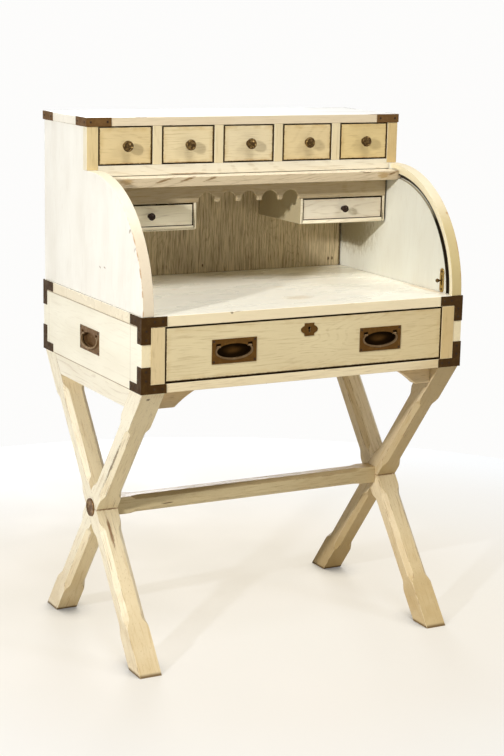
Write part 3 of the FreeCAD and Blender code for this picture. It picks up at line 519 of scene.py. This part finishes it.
def metal(name, base, rubbed, roughness=0.38, metallic=0.75, patch_size=0.012, rub=0.5, soiled=()):
    """Old brass: brown tarnish, rubbed patches, fine brushing, and dirt with painted shade where it is shut
    in.
    """
    look = Look(name)
    patch = look.noise(look.place, 1 / patch_size, detail=4.0, roughness=0.6)
    brushed = look.noise(look.fitted(look.place, seed(name), grain_across, brush_size), detail=2.0)
    share = look.math("MULTIPLY", look.band(patch, 0.46, 0.70), rub)
    colour = look.mix(share, base, rubbed)
    speck = look.band(look.noise(look.place, 900.0, detail=2.0), 0.62, 0.72)
    colour = look.mix(look.math("MULTIPLY", speck, 0.5), colour, grime_and_shade)
    # Painted shade with dirt: the brass darkens where nearby surfaces shut it in
    corner_shade = look.math("MULTIPLY", look.band(look.nearby(brass_shade_reach), 0.3, 0.9), 0.8)
    colour, dull = covered(look, look.mix(corner_shade, colour, brass_dirt), corner_shade, soiled)
    look.put(look.band(dull, 0.0, 1.0, 0.2, 0.0), look.shader.inputs["Specular IOR Level"])
    look.raised(look.math("ADD", brushed, patch), brush_depth, 0.25)
    rough = look.band(patch, *noise_span, roughness + 0.1, roughness - 0.08)
    return look.finish(colour, rough, Metallic=metallic)


def cloth(name, thread, gap):
    """Plain woven canvas."""
    look = Look(name)
    weave = []
    for axis in (0, 2):
        wave = look.math("SINE", look.math("MULTIPLY", look.part(look.place, axis), math.tau / thread_pitch))
        weave.append(look.band(wave, -1.0, 1.0))
    height = look.joined("MULTIPLY", weave)
    fuzz = look.noise(look.place, 260.0, detail=3.0)
    colour = look.mix(look.math("MULTIPLY", height, fuzz), gap, thread)
    look.raised(height, thread_depth, 0.6)
    return look.finish(colour, look.band(fuzz, 0.2, 0.8, 0.8, 0.95))


def soften(obj, width, segments):
    """Round a piece's arrises, the same as a plane and years of use do."""
    weld = obj.modifiers.new("weld", "WELD")
    weld.merge_threshold = weld_reach
    plane = obj.modifiers.new("plane", "DECIMATE")
    plane.decimate_type = "DISSOLVE"
    plane.angle_limit = flat_angle
    bevel = obj.modifiers.new("arris", "BEVEL")
    bevel.width = width
    bevel.segments = segments
    bevel.limit_method = "ANGLE"
    bevel.angle_limit = arris_angle
    if len(obj.material_slots) > 1:
        bevel.material = 1
    normals = obj.modifiers.new("normals", "WEIGHTED_NORMAL")
    normals.weight = flat_weight


def dress(node, material, edge=None, arris=plain_arris, segments=2):
    """A piece's material, that of its arrises if they have their own, and their rounding."""
    obj = nodes[node]
    obj.material_slots[0].material = material
    if edge is not None:
        obj.data.materials.append(edge)
    soften(obj, arris, segments)


def dress_wood(node, arris=plain_arris, worn=0.25, edge_soiled=(), **settings):
    """A wooden piece and the worn version of its paint on its arrises."""
    settings["soiled"] = (*settings.get("soiled", ()), *edge_soiled)
    face = wood(node, **settings)
    edge_settings = dict(settings, worn=worn, marks=(), soiled=edge_soiled)
    dress(node, face, wood(node + "_arris", **edge_settings), arris)


def leg_turn(rising):
    """Turn of a leg's grain about the axis across the desk."""
    low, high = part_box("leg_left_front_foot")
    run = high[1] - low[1]
    slope = math.atan2(run * leg_run_share, high[2] - low[2])
    return (slope if rising else -slope, 0, 0)


def foot_dirt(look):
    """A mask for the worn, dirty soles of the feet, darkened also as painted contact shade."""
    return look.band(look.part(look.place, 2), sole_clean, sole_dirty)


def dress_base():
    streak_tan = (0.44, 0.29, 0.12)
    rust = (0.20, 0.09, 0.03)
    # The right legs' tints, the back one's most, are darker than the left legs': painted shade
    fronts = {
        "leg_left_front_foot": (0.76, 0.65, 0.43),
        "leg_left_back_foot": (0.78, 0.66, 0.42),
        "leg_right_front_foot": (0.68, 0.55, 0.32),
        "leg_right_back_foot": (0.50, 0.375, 0.185),
    }
    sides = {
        "leg_left_front_foot": (0.90, 0.83, 0.65),
        "leg_left_back_foot": (0.90, 0.83, 0.65),
        "leg_right_front_foot": (0.74, 0.62, 0.41),
        "leg_right_back_foot": (0.58, 0.47, 0.29),
    }
    leg_streaks = {"left": 0.45, "right": 0.62}
    # Tints that darken each leg towards its foot
    leg_lower_tint = {"left": ((0.46, 0.31, 0.12), 0.45), "right": ((0.42, 0.29, 0.12), 0.68)}
    for side in ("left", "right"):
        for end in ("front", "back"):
            name = f"leg_{side}_{end}_foot"
            turn = leg_turn(end == "back")
            middle = sum(corner[0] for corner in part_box(name)) / 2
            marks = [((middle, -0.040, 0.2985), (0, 0, 0), (0.040, 0.034, 0.0022), wear_brown, 0.95)]
            if (side, end) == ("left", "back"):
                marks.append(((-0.361, -0.2513, 0.5862), (0, 0, 0), (0.004, 0.006, 0.004), grime_and_shade, 0.9))
                marks.append(((-0.377, -0.112, 0.421), turn, (0.004, 0.0026, 0.085), grime_and_shade, 0.75))
            if (side, end) == ("left", "front"):
                marks.append(((-0.358, -0.0614, 0.2573), turn, (0.0042, 0.012, 0.044), rust, 0.9))
            dress_wood(
                name, arris=0.0021, worn=0.62, front=fronts[name], side=sides[name], grain=turn,
                streaks=leg_streaks[side], figure=0.25, ring_count=10, cracks=0.6, specks=0.4,
                grain_colour=streak_tan, marks=marks,
                soiled=((fade(2, 0.30, 0.02), *leg_lower_tint[side]), (foot_dirt, grime_and_shade, 0.85)),
            )
    dress_wood("leg_rails", front=cream, side=(0.90, 0.84, 0.68), grain=grain_backward, streaks=0.12,
               soiled=((seam(2, rail_joint_z), wear_brown, 0.8),))
    split = (((-0.205, -0.0198, 0.2925), (0, 0, 0), (0.016, 0.01, 0.0016), grime_and_shade, 0.85),)
    # The stretcher's top is darker as painted shade under the case, and it darkens towards the right as
    # painted shade
    dress_wood("stretcher", arris=0.0021, worn=0.62, front=(0.64, 0.53, 0.31), top=(0.46, 0.35, 0.19),
               grain=grain_across, streaks=0.5, figure=0.25, cracks=0.6, specks=0.35, marks=split,
               soiled=((fade(0, 0.0, 0.25), (0.42, 0.28, 0.11), 0.3),))
    dress_wood("knee_brackets", front=(0.74, 0.57, 0.33), grain=grain_across, streaks=0.45)
    dress("cross_bolts", metal("cross_bolts", (0.15, 0.08, 0.033), (0.40, 0.25, 0.11), rub=0.8), arris=0.0006)


def dress_case():
    stain = (0.62, 0.40, 0.17)
    slab_marks = (
        ((0.030, -0.161, 0.756), (0, 0, 0.1), (0.040, 0.024, 0.01), stain, 0.30),
        ((0.06, -0.02, 0.756), (0, 0, 0), (0.014, 0.008, 0.01), stain, 0.3),
        ((-0.17, 0.03, 0.756), (0, 0, 0), (0.010, 0.005, 0.01), stain, 0.35),
        ((-0.181, -0.263, 0.755), (0, 0, 0), (0.004, 0.006, 0.004), grime_and_shade, 0.8),
        ((0.352, -0.160, 0.756), (0, 0, 0), (0.012, 0.100, 0.010), stain, 0.45),
    )
    slab_low, slab_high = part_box("writing_slab")
    side_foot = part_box("case_side_left")[0][2]
    dress_wood("writing_slab", arris=0.0012, front=(0.90, 0.77, 0.51), side=(0.88, 0.78, 0.58),
               top=(0.98, 0.95, 0.82), grain=grain_across, streaks=0.07, figure=0.05, gloss=0.28,
               marks=slab_marks, soiled=((seam(2, slab_low[2] + 0.0005), wear_brown, 0.7),))
    end_joints = (
        (seam(1, slab_low[1] + 0.055, case_end), wear_brown, 0.45),
        (seam(1, slab_high[1] - 0.030, case_end), wear_brown, 0.35),
        (seam(2, slab_low[2] - 0.0006, case_end), wear_brown, 0.7),
        (seam(2, side_foot + 0.0006, case_end), wear_brown, 0.8),
    )
    for side in ("left", "right"):
        dress_wood(f"case_side_{side}", front=cream, side=(0.93, 0.88, 0.72), grain=grain_backward,
                   streaks=0.07, figure=0.08, soiled=end_joints)
    for name in ("case_back", "case_bottom"):
        dress_wood(name, front=plain_oak, grain=grain_across, streaks=0.5)
    # Painted shade: the front frame and drawer front darken and turn amber towards the right end
    right_shade_amber = (0.52, 0.33, 0.10)
    dress_wood("front_frame", front=(0.83, 0.70, 0.45), ends=(stile_edge, (0.71, 0.56, 0.31)),
               grain=grain_across, streaks=0.36, figure=0.15, turned_beyond=stile_edge,
               soiled=((fade(0, 0.20, 0.34), right_shade_amber, 0.40), (opening_shade("drawer_front"), gap_shade_brown, gap_shade_share)))
    dress_wood("drawer_runners", front=bare_oak, grain=grain_backward, streaks=0.5)
    polish = (0.52, 0.36, 0.15)
    strips = edge_shade_strips("drawer_front", 0.0009, 0.0014, 0.0014)
    dress_wood("drawer_front", front=(0.73, 0.61, 0.36), grain=grain_across, streaks=0.3,
               figure=0.22, ring_count=26, arris=0.0012, worn=0.35,
               edge_soiled=((strips, gap_shade_brown, edge_strip_shade_share),),
               soiled=((board_rim("drawer_front", 0.016), polish, 0.35), (fade(0, 0.05, 0.34), right_shade_amber, 0.26),
                       (board_edge_shade("drawer_front", 0.018), gap_shade_brown, board_edge_shade_share)))
    dress_wood("drawer_box", front=bare_oak, grain=grain_backward, streaks=0.5)
    dress_wood("drawer_bottom", front=bare_oak, grain=grain_across, streaks=0.5)


def dress_upper():
    nick = (0.25, 0.13, 0.045)
    nicks_and_shadow = {
        "left": (
            ((-0.3785, -0.0478, 0.8264), (0.5, 0, 0), (0.004, 0.0050, 0.0020), nick, 0.8),
            ((-0.3785, -0.0720, 0.8285), (0.2, 0, 0), (0.004, 0.0060, 0.0018), nick, 0.8),
            ((-0.3782, -0.1985, 0.9196), (0.8, 0, 0), (0.0014, 0.0034, 0.0070), nick, 0.75),
            ((-0.3780, -0.2250, 0.8890), (0.6, 0, 0), (0.0014, 0.0030, 0.0130), nick, 0.65),
        ),
        "right": (
            ((0.3756, -0.1985, 0.9276), (0.7, 0, 0), (0.004, 0.0040, 0.0080), rub_brown, 0.8),
            # A painted shadow under the right box, on the right side's inner face
            ((0.361, 0.165, 0.858), (0, 0, 0), (0.010, 0.105, 0.066), (0.30, 0.24, 0.12), 0.72),
        ),
    }
    # The right side's rim, lip, inner face and crown take darker tints than the left's: painted shade
    rims = {"left": (0.76, 0.65, 0.48), "right": (0.585, 0.465, 0.22)}
    arrises = {"left": 0.0013, "right": 0.0005}
    lips = {"left": (0.86, 0.77, 0.57), "right": (0.78, 0.68, 0.45)}
    inner_faces = {"left": face_white, "right": (0.70, 0.69, 0.595)}
    crowns = {"left": (0.93, 0.86, 0.66), "right": (0.84, 0.74, 0.52)}
    for side in ("left", "right"):
        dress_wood(f"upper_side_{side}", arris=arrises[side], worn=0.20, front=rims[side], side=face_white,
                   inner=(panel_limit(), inner_faces[side]), top=crowns[side], streaks=0.06, figure=0.05,
                   marks=nicks_and_shadow[side],
                   edge_soiled=((rim_lip, lips[side], 0.85), (roll_groove_shade, groove_shade_black, 0.97),
                                (outer_arris, rub_brown, 0.75)))
    shelf_wear = (((-0.15, 0.02, 1.0066), (0, 0, 0), (0.055, 0.01, 0.0016), wear_brown, 0.8),)
    top_drawers = [f"top_drawer_{index}" for index in range(1, 6)]
    # Painted shade in the gaps round the top drawers
    drawer_gap_shade = (opening_shade(*top_drawers), gap_shade_brown, gap_shade_share)
    dress_wood("shelf", arris=0.0003, front=(0.775, 0.715, 0.56), top=ledge_cream, grain=grain_across,
               streaks=0.12, marks=shelf_wear, soiled=(drawer_gap_shade,), dirt=0.25)
    knot = (0.40, 0.25, 0.09)
    scar = (0.22, 0.13, 0.05)
    rail_marks = (
        ((-0.308, -0.0237, 0.9974), (0, 0, 0), (0.016, 0.012, 0.009), knot, 0.75),
        ((0.321, -0.0235, 0.9952), (0, 0, 0), (0.018, 0.012, 0.010), knot, 0.75),
        ((0.272, -0.0242, 1.0030), (0, 0.1, 0), (0.016, 0.012, 0.0020), grime_and_shade, 0.85),
        ((-0.222, -0.0238, 0.9980), (0, -0.28, 0), (0.026, 0.012, 0.0026), scar, 0.9),
        ((-0.165, -0.0238, 1.0000), (0, -0.28, 0), (0.026, 0.012, 0.0026), scar, 0.9),
        ((-0.112, -0.0240, 0.9990), (0, -0.28, 0), (0.018, 0.012, 0.0026), scar, 0.9),
        ((0.345, -0.0235, 0.9990), (0, -0.35, 0), (0.016, 0.012, 0.0026), scar, 0.9),
    )
    # The rail's front is darker than its top: painted shade
    dress_wood("roll_rail", front=(0.64, 0.52, 0.34), top=(0.90, 0.80, 0.60), grain=rail_grain, streaks=0.6,
               figure=0.3, cracks=0.5, grain_colour=(0.28, 0.20, 0.12), marks=rail_marks, worn=0.3, dirt=0.25)
    # Painted shade: the dividers darken and turn amber towards the right end
    right_shade_amber = (0.50, 0.30, 0.08)
    dress_wood("top_dividers", front=(0.76, 0.64, 0.40), ends=(post_edge, (0.69, 0.54, 0.28)),
               side=(0.88, 0.80, 0.60), streaks=0.3, figure=0.12,
               soiled=((fade(0, 0.25, 0.36), right_shade_amber, 0.35), drawer_gap_shade))
    dress_wood("top_board", front=(0.73, 0.61, 0.42), side=(0.93, 0.88, 0.76), top=(0.97, 0.965, 0.93),
               grain=grain_across, streaks=0.16, figure=0.08, arris=0.0011, worn=0.3, soiled=(drawer_gap_shade,))
    polish = (0.50, 0.33, 0.12)
    tints = (
        (0.70, 0.55, 0.29), (0.74, 0.61, 0.36), (0.76, 0.64, 0.40), (0.72, 0.57, 0.31), (0.69, 0.53, 0.25),
    )
    for name, tint in zip(top_drawers, tints):
        low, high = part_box(name)
        worn_foot = ((low[0] + high[0]) / 2, low[1], low[2] + 0.0015)
        dress_wood(name, front=tint, side=bare_oak, top=cream, grain=grain_across, streaks=0.3, figure=0.2,
                   ring_count=24, worn=0.5,
                   edge_soiled=((edge_shade_strips(name, 0.0010, 0.0026, 0.0034), gap_shade_brown, edge_strip_shade_share),),
                   marks=((worn_foot, (0, 0, 0), (0.07, 0.01, 0.004), rub_brown, 0.6),),
                   soiled=((board_rim(name, 0.014), polish, 0.55),
                           (board_edge_shade(name, 0.010), gap_shade_brown, board_edge_shade_share)))
    for name in ("outer_back", "gallery_top"):
        dress_wood(name, front=plain_oak, streaks=0.5)


def dress_gallery():
    dots = tuple(
        ((x, 0.221, 0.773), (0, 0, 0), (0.0032, 0.02, 0.0045), grime_and_shade, 0.95) for x in (-0.008, 0.327, 0.338)
    )
    # The back panel's dark strip along its right edge is painted shade in the gap beside the right side
    dress_wood("back_panel", front=(0.72, 0.59, 0.37), streaks=0.85, figure=0.4, ring_count=40, dense=0.6,
               pores=panel_pore_size, grain_colour=(0.15, 0.10, 0.045), marks=dots,
               soiled=((edge_shade_strips("back_panel", 0.0, 0.0030, 0.0), grime_and_shade, edge_strip_shade_share),))
    dress_wood("apron", front=(0.54, 0.44, 0.28), grain=grain_across, streaks=0.5, figure=0.3, dense=0.2,
               arris=0.0011, worn=0.1)
    # The left small drawer is lighter than the right one as painted light, and the boxes' end faces are
    # darker as painted shade
    small_drawers = {"small_drawer_left": (1.0, 0.91, 0.68), "small_drawer_right": (0.84, 0.76, 0.60)}
    dress_wood("gallery_boxes", front=(0.94, 0.84, 0.63), side=(0.47, 0.40, 0.25), grain=grain_across,
               streaks=0.14, arris=0.0013, worn=0.1,
               soiled=((opening_shade(*small_drawers), gap_shade_brown, gap_shade_share),))
    for name, tint in small_drawers.items():
        dress_wood(name, front=tint, side=bare_oak, grain=grain_across, streaks=0.15, worn=0.3,
                   edge_soiled=((edge_shade_strips(name, 0.0008, 0.0012, 0.0010), gap_shade_brown, edge_strip_shade_share),),
                   soiled=((board_rim(name, 0.010), rub_brown, 0.25),
                           (board_edge_shade(name, 0.008), gap_shade_brown, board_edge_shade_share)))


def pan_hollow_shade(look):
    """A mask for painted shade in the hollow of a flush pull, on the front or on an end of the case."""
    case_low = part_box("case_side_left")[0]
    behind_front = look.band(look.part(look.place, 1), case_low[1] + pan_start, case_low[1] + pan_full)
    within_end = look.band(look.aside(), -case_low[0] - pan_start, -case_low[0] - pan_full)
    return look.math("MULTIPLY", behind_front, within_end)


def pan_lit_middle(look):
    """A mask for a painted pool of light in the middle of a drawer pull's hollow."""
    middle = sum(corner[0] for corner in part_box("pull_bail_right")) / 2
    level = sum(corner[2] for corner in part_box("pull_plates")) / 2
    mirrored = look.vector("ABSOLUTE", look.place)
    local = look.fitted(mirrored, (middle, 0.25, level), (0, 0, 0), (0.024, 0.05, 0.009))
    return look.math("MULTIPLY", pan_hollow_shade(look), look.band(look.vector("LENGTH", local), 1.1, 0.2))


def dress_metal():
    bracket = metal("brackets", (0.046, 0.019, 0.001), (0.085, 0.043, 0.006), roughness=0.55, metallic=0.4)
    dress("case_brackets", bracket, arris=0.0004)
    strap = metal("straps", (0.130, 0.064, 0.018), (0.19, 0.102, 0.034), roughness=0.55, metallic=0.4)
    dress("top_straps", strap, arris=0.0004)
    dark = metal("screws", (0.030, 0.016, 0.008), (0.10, 0.06, 0.03), roughness=0.5, metallic=0.4)
    for name in ("brass_screws", "pull_screws"):
        dress(name, dark, arris=0.0002)
    plate = metal("plates", (0.095, 0.040, 0.004), (0.155, 0.074, 0.012), roughness=0.5, metallic=0.45,
                  rub=0.6, soiled=((pan_hollow_shade, hollow_shade_black, 0.95), (pan_lit_middle, (0.13, 0.060, 0.015), 0.55)))
    for name in ("pull_plates", "escutcheon"):
        dress(name, plate, arris=0.0005)
    bail = metal("bails", (0.15, 0.090, 0.040), (0.26, 0.18, 0.10), roughness=0.5, metallic=0.6, rub=0.6)
    for name in ("pull_bail_left", "pull_bail_right"):
        dress(name, bail, arris=0.0006, segments=3)
    handle = metal("handles", (0.16, 0.085, 0.032), (0.26, 0.155, 0.065), roughness=0.5, metallic=0.45,
                   rub=0.6, soiled=((pan_hollow_shade, hollow_shade_black, 0.1),))
    dress("handle_plates", handle, arris=0.0005)
    ring = metal("handle_bails", (0.26, 0.165, 0.075), (0.42, 0.29, 0.15), roughness=0.42, metallic=0.7,
                 rub=0.7)
    for name in ("handle_bail_left", "handle_bail_right"):
        dress(name, ring, arris=0.0008, segments=3)
    knob = metal("knobs", (0.060, 0.032, 0.009), (0.34, 0.215, 0.075), roughness=0.33, metallic=0.7,
                 rub=0.75, patch_size=0.006)
    for index in range(1, 6):
        dress(f"top_knob_{index}", knob, arris=0.0005)
    black = metal("small_knobs", (0.022, 0.012, 0.008), (0.06, 0.035, 0.02), roughness=0.3, metallic=0.5)
    for side in ("left", "right"):
        dress(f"small_knob_{side}", black, arris=0.0004)
    bright = metal("catch", (0.42, 0.27, 0.07), (0.60, 0.43, 0.16), roughness=0.33)
    dress("catch_plate", bright, arris=0.0004)
    dress("catch_bolt", knob, arris=0.0006)
    steel = metal("lock", (0.22, 0.20, 0.17), (0.42, 0.40, 0.36), roughness=0.4)
    for name in ("lock_case", "lock_bolt"):
        dress(name, steel, arris=0.0004)


def on_roll(x, radius, degrees):
    """A point on the roll's circle, at an angle forward of its top."""
    turn = math.radians(degrees)
    return Vector((x, -radius * math.sin(turn), roll_centre_z + radius * math.cos(turn)))


def rest_angle(drawn):
    """Where a point of the roll rests, from the angle that it has when the roll is drawn down."""
    start = on_roll(0, roll_radius, rest_back_angle)
    along = on_roll(0, roll_radius, rest_rail_angle) - start
    low, high = rest_back_angle, rest_rail_angle
    for _ in range(halvings):
        middle = (low + high) / 2
        share = (on_roll(0, roll_radius, middle) - start).dot(along) / along.length_squared
        share = min(max(share, 0), 1)
        reached = middle + closing_angle * share * share * (3 - 2 * share)
        low, high = (middle, high) if reached < drawn else (low, middle)
    return (low + high) / 2


def roll_strip(bm, drawn_angles, radii, ends):
    """A closed strip across the desk whose section has these angles and radii."""
    rows = []
    for x in ends:
        rows.append([
            bm.verts.new(on_roll(x, radius, rest_angle(angle))) for angle, radius in zip(drawn_angles, radii)
        ])
    count = len(drawn_angles)
    for index in range(count):
        after = (index + 1) % count
        bm.faces.new((rows[0][index], rows[0][after], rows[1][after], rows[1][index]))
    bm.faces.new(list(reversed(rows[0])))
    bm.faces.new(rows[1])


def roll_piece(name, material, replaced, fill):
    """A piece that is blended from the desk to the rail, in place of a node of the solids."""
    bm = bmesh.new()
    fill(bm)
    bmesh.ops.recalc_face_normals(bm, faces=bm.faces)
    mesh = bpy.data.meshes.new(name)
    bm.to_mesh(mesh)
    bm.free()
    piece = bpy.data.objects.new(name, mesh)
    bpy.context.scene.collection.objects.link(piece)
    mesh.materials.append(material)
    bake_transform(piece)
    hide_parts(replaced)


def slats(bm):
    """Slats with rounded faces, edge to edge behind the rail."""
    rail_low, rail_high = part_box("roll_rail")
    count = int((drawn_rail_angle - rest_back_angle) / slat_angle)
    for index in range(count):
        high = drawn_rail_angle - index * slat_angle - slat_gap_angle
        low = drawn_rail_angle - (index + 1) * slat_angle + slat_gap_angle
        middle = (low + high) / 2
        half = (high - low) / 2
        angles = [low, high]
        radii = [slat_back, slat_back]
        for share, rise in slat_profile:
            angles.append(middle + half * share)
            radii.append(slat_back + slat_thickness * rise)
        roll_strip(bm, angles, radii, (rail_low[0], rail_high[0]))


def canvas(bm):
    """The cloth that holds the slats together, on their inner side."""
    low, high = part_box("tambour_canvas")
    length = drawn_rail_angle - rest_back_angle
    drawn = [rest_back_angle + length * index / cloth_steps for index in range(cloth_steps + 1)]
    radii = [slat_back] * len(drawn) + [slat_back - cloth_thickness] * len(drawn)
    roll_strip(bm, drawn + drawn[::-1], radii, (low[0], high[0]))


def dress_roll():
    paint = wood("roll_slats", front=cream, top=ledge_cream, grain=grain_across, streaks=0.3, figure=0.15)
    roll_piece("roll_slats", paint, "tambour_slats", slats)
    weave = cloth("roll_canvas", (0.70, 0.62, 0.48), (0.34, 0.28, 0.19))
    roll_piece("roll_canvas", weave, "tambour_canvas", canvas)


def floor():
    bm = bmesh.new()
    bmesh.ops.create_circle(bm, cap_ends=True, segments=floor_sides, radius=floor_radius)
    mesh = bpy.data.meshes.new("floor")
    bm.to_mesh(mesh)
    bm.free()
    plane = bpy.data.objects.new("floor", mesh)
    bpy.context.scene.collection.objects.link(plane)
    look = Look("floor")
    cloud = look.noise(look.place, 2.6, detail=4.0)
    path = look.tree.nodes.new("ShaderNodeLightPath")
    seen = look.math("MAXIMUM", path.outputs["Is Camera Ray"], path.outputs["Is Glossy Ray"])
    pale = look.mix(look.band(cloud, *noise_span), *floor_tints)
    colour = look.mix(seen, floor_cream, pale)
    # Painted shadow: the glow dims where the desk shuts the floor in, and is dimmer and warmer near the desk
    glow_share = look.band(look.nearby(contact_shadow_reach), 0.10, 0.75, floor_glow, contact_shadow_glow)
    look.put(look.math("MULTIPLY", seen, glow_share), look.shader.inputs["Emission Strength"])
    away = look.vector("LENGTH", look.place)
    glow = look.mix(look.band(away, 0.5, 1.3), glow_near, glow_far)
    rim = look.band(away, floor_radius * 0.7, floor_radius * 0.99)
    look.put(look.mix(rim, glow, glow_rim), look.shader.inputs["Emission Color"])
    rough = look.band(cloud, *noise_span, 0.7, 0.85)
    mesh.materials.append(look.finish(colour, rough, Specular_IOR_Level=0.2))


def lamp(name, travel, level, size, distance):
    """An area lamp at the plain level at which a white surface that faces it renders as level."""
    data = bpy.data.lights.new(name, "AREA")
    data.shape = "DISK"
    data.size = size
    data.energy = level * (math.pi * distance) ** 2
    obj = bpy.data.objects.new(name, data)
    travel = Vector(travel).normalized()
    obj.location = lamp_target - travel * distance
    obj.rotation_euler = travel.to_track_quat("-Z", "Y").to_euler()
    bpy.context.scene.collection.objects.link(obj)


def room():
    """Even light on the desk, and white where the room itself is seen or mirrored."""
    world = bpy.data.worlds.new("room")
    bpy.context.scene.world = world
    world.use_nodes = True
    tree = world.node_tree
    background = tree.nodes["Background"]
    background.inputs["Color"].default_value = room_tint
    path = tree.nodes.new("ShaderNodeLightPath")
    seen = path.outputs["Is Camera Ray"]
    for ray in ("Is Glossy Ray", "Is Transmission Ray"):
        node = tree.nodes.new("ShaderNodeMath")
        node.operation = "MAXIMUM"
        tree.links.new(seen, node.inputs[0])
        tree.links.new(path.outputs[ray], node.inputs[1])
        seen = node.outputs[0]
    level = tree.nodes.new("ShaderNodeMapRange")
    tree.links.new(seen, level.inputs[0])
    level.inputs[3].default_value = room_light
    level.inputs[4].default_value = white_level
    tree.links.new(level.outputs[0], background.inputs["Strength"])


def camera():
    data = bpy.data.cameras.new("camera")
    data.lens = camera_lens
    data.sensor_width = camera_sensor
    obj = bpy.data.objects.new("camera", data)
    forward = camera_forward.normalized()
    right = forward.cross(Vector((0, 0, 1))).normalized()
    up = right.cross(forward)
    rolled_right = right * math.cos(camera_roll) + up * math.sin(camera_roll)
    rolled_up = up * math.cos(camera_roll) - right * math.sin(camera_roll)
    turn = Matrix((rolled_right, rolled_up, -forward)).transposed().to_4x4()
    obj.matrix_world = Matrix.Translation(camera_place) @ turn
    bpy.context.scene.collection.objects.link(obj)
    bpy.context.scene.camera = obj


dress_base()
dress_case()
dress_upper()
dress_gallery()
dress_metal()
dress_roll()
floor()
for lamp_name, lamp_settings in lamps.items():
    lamp(lamp_name, **lamp_settings)
room()
camera()
bpy.context.scene.view_settings.view_transform = "Standard"
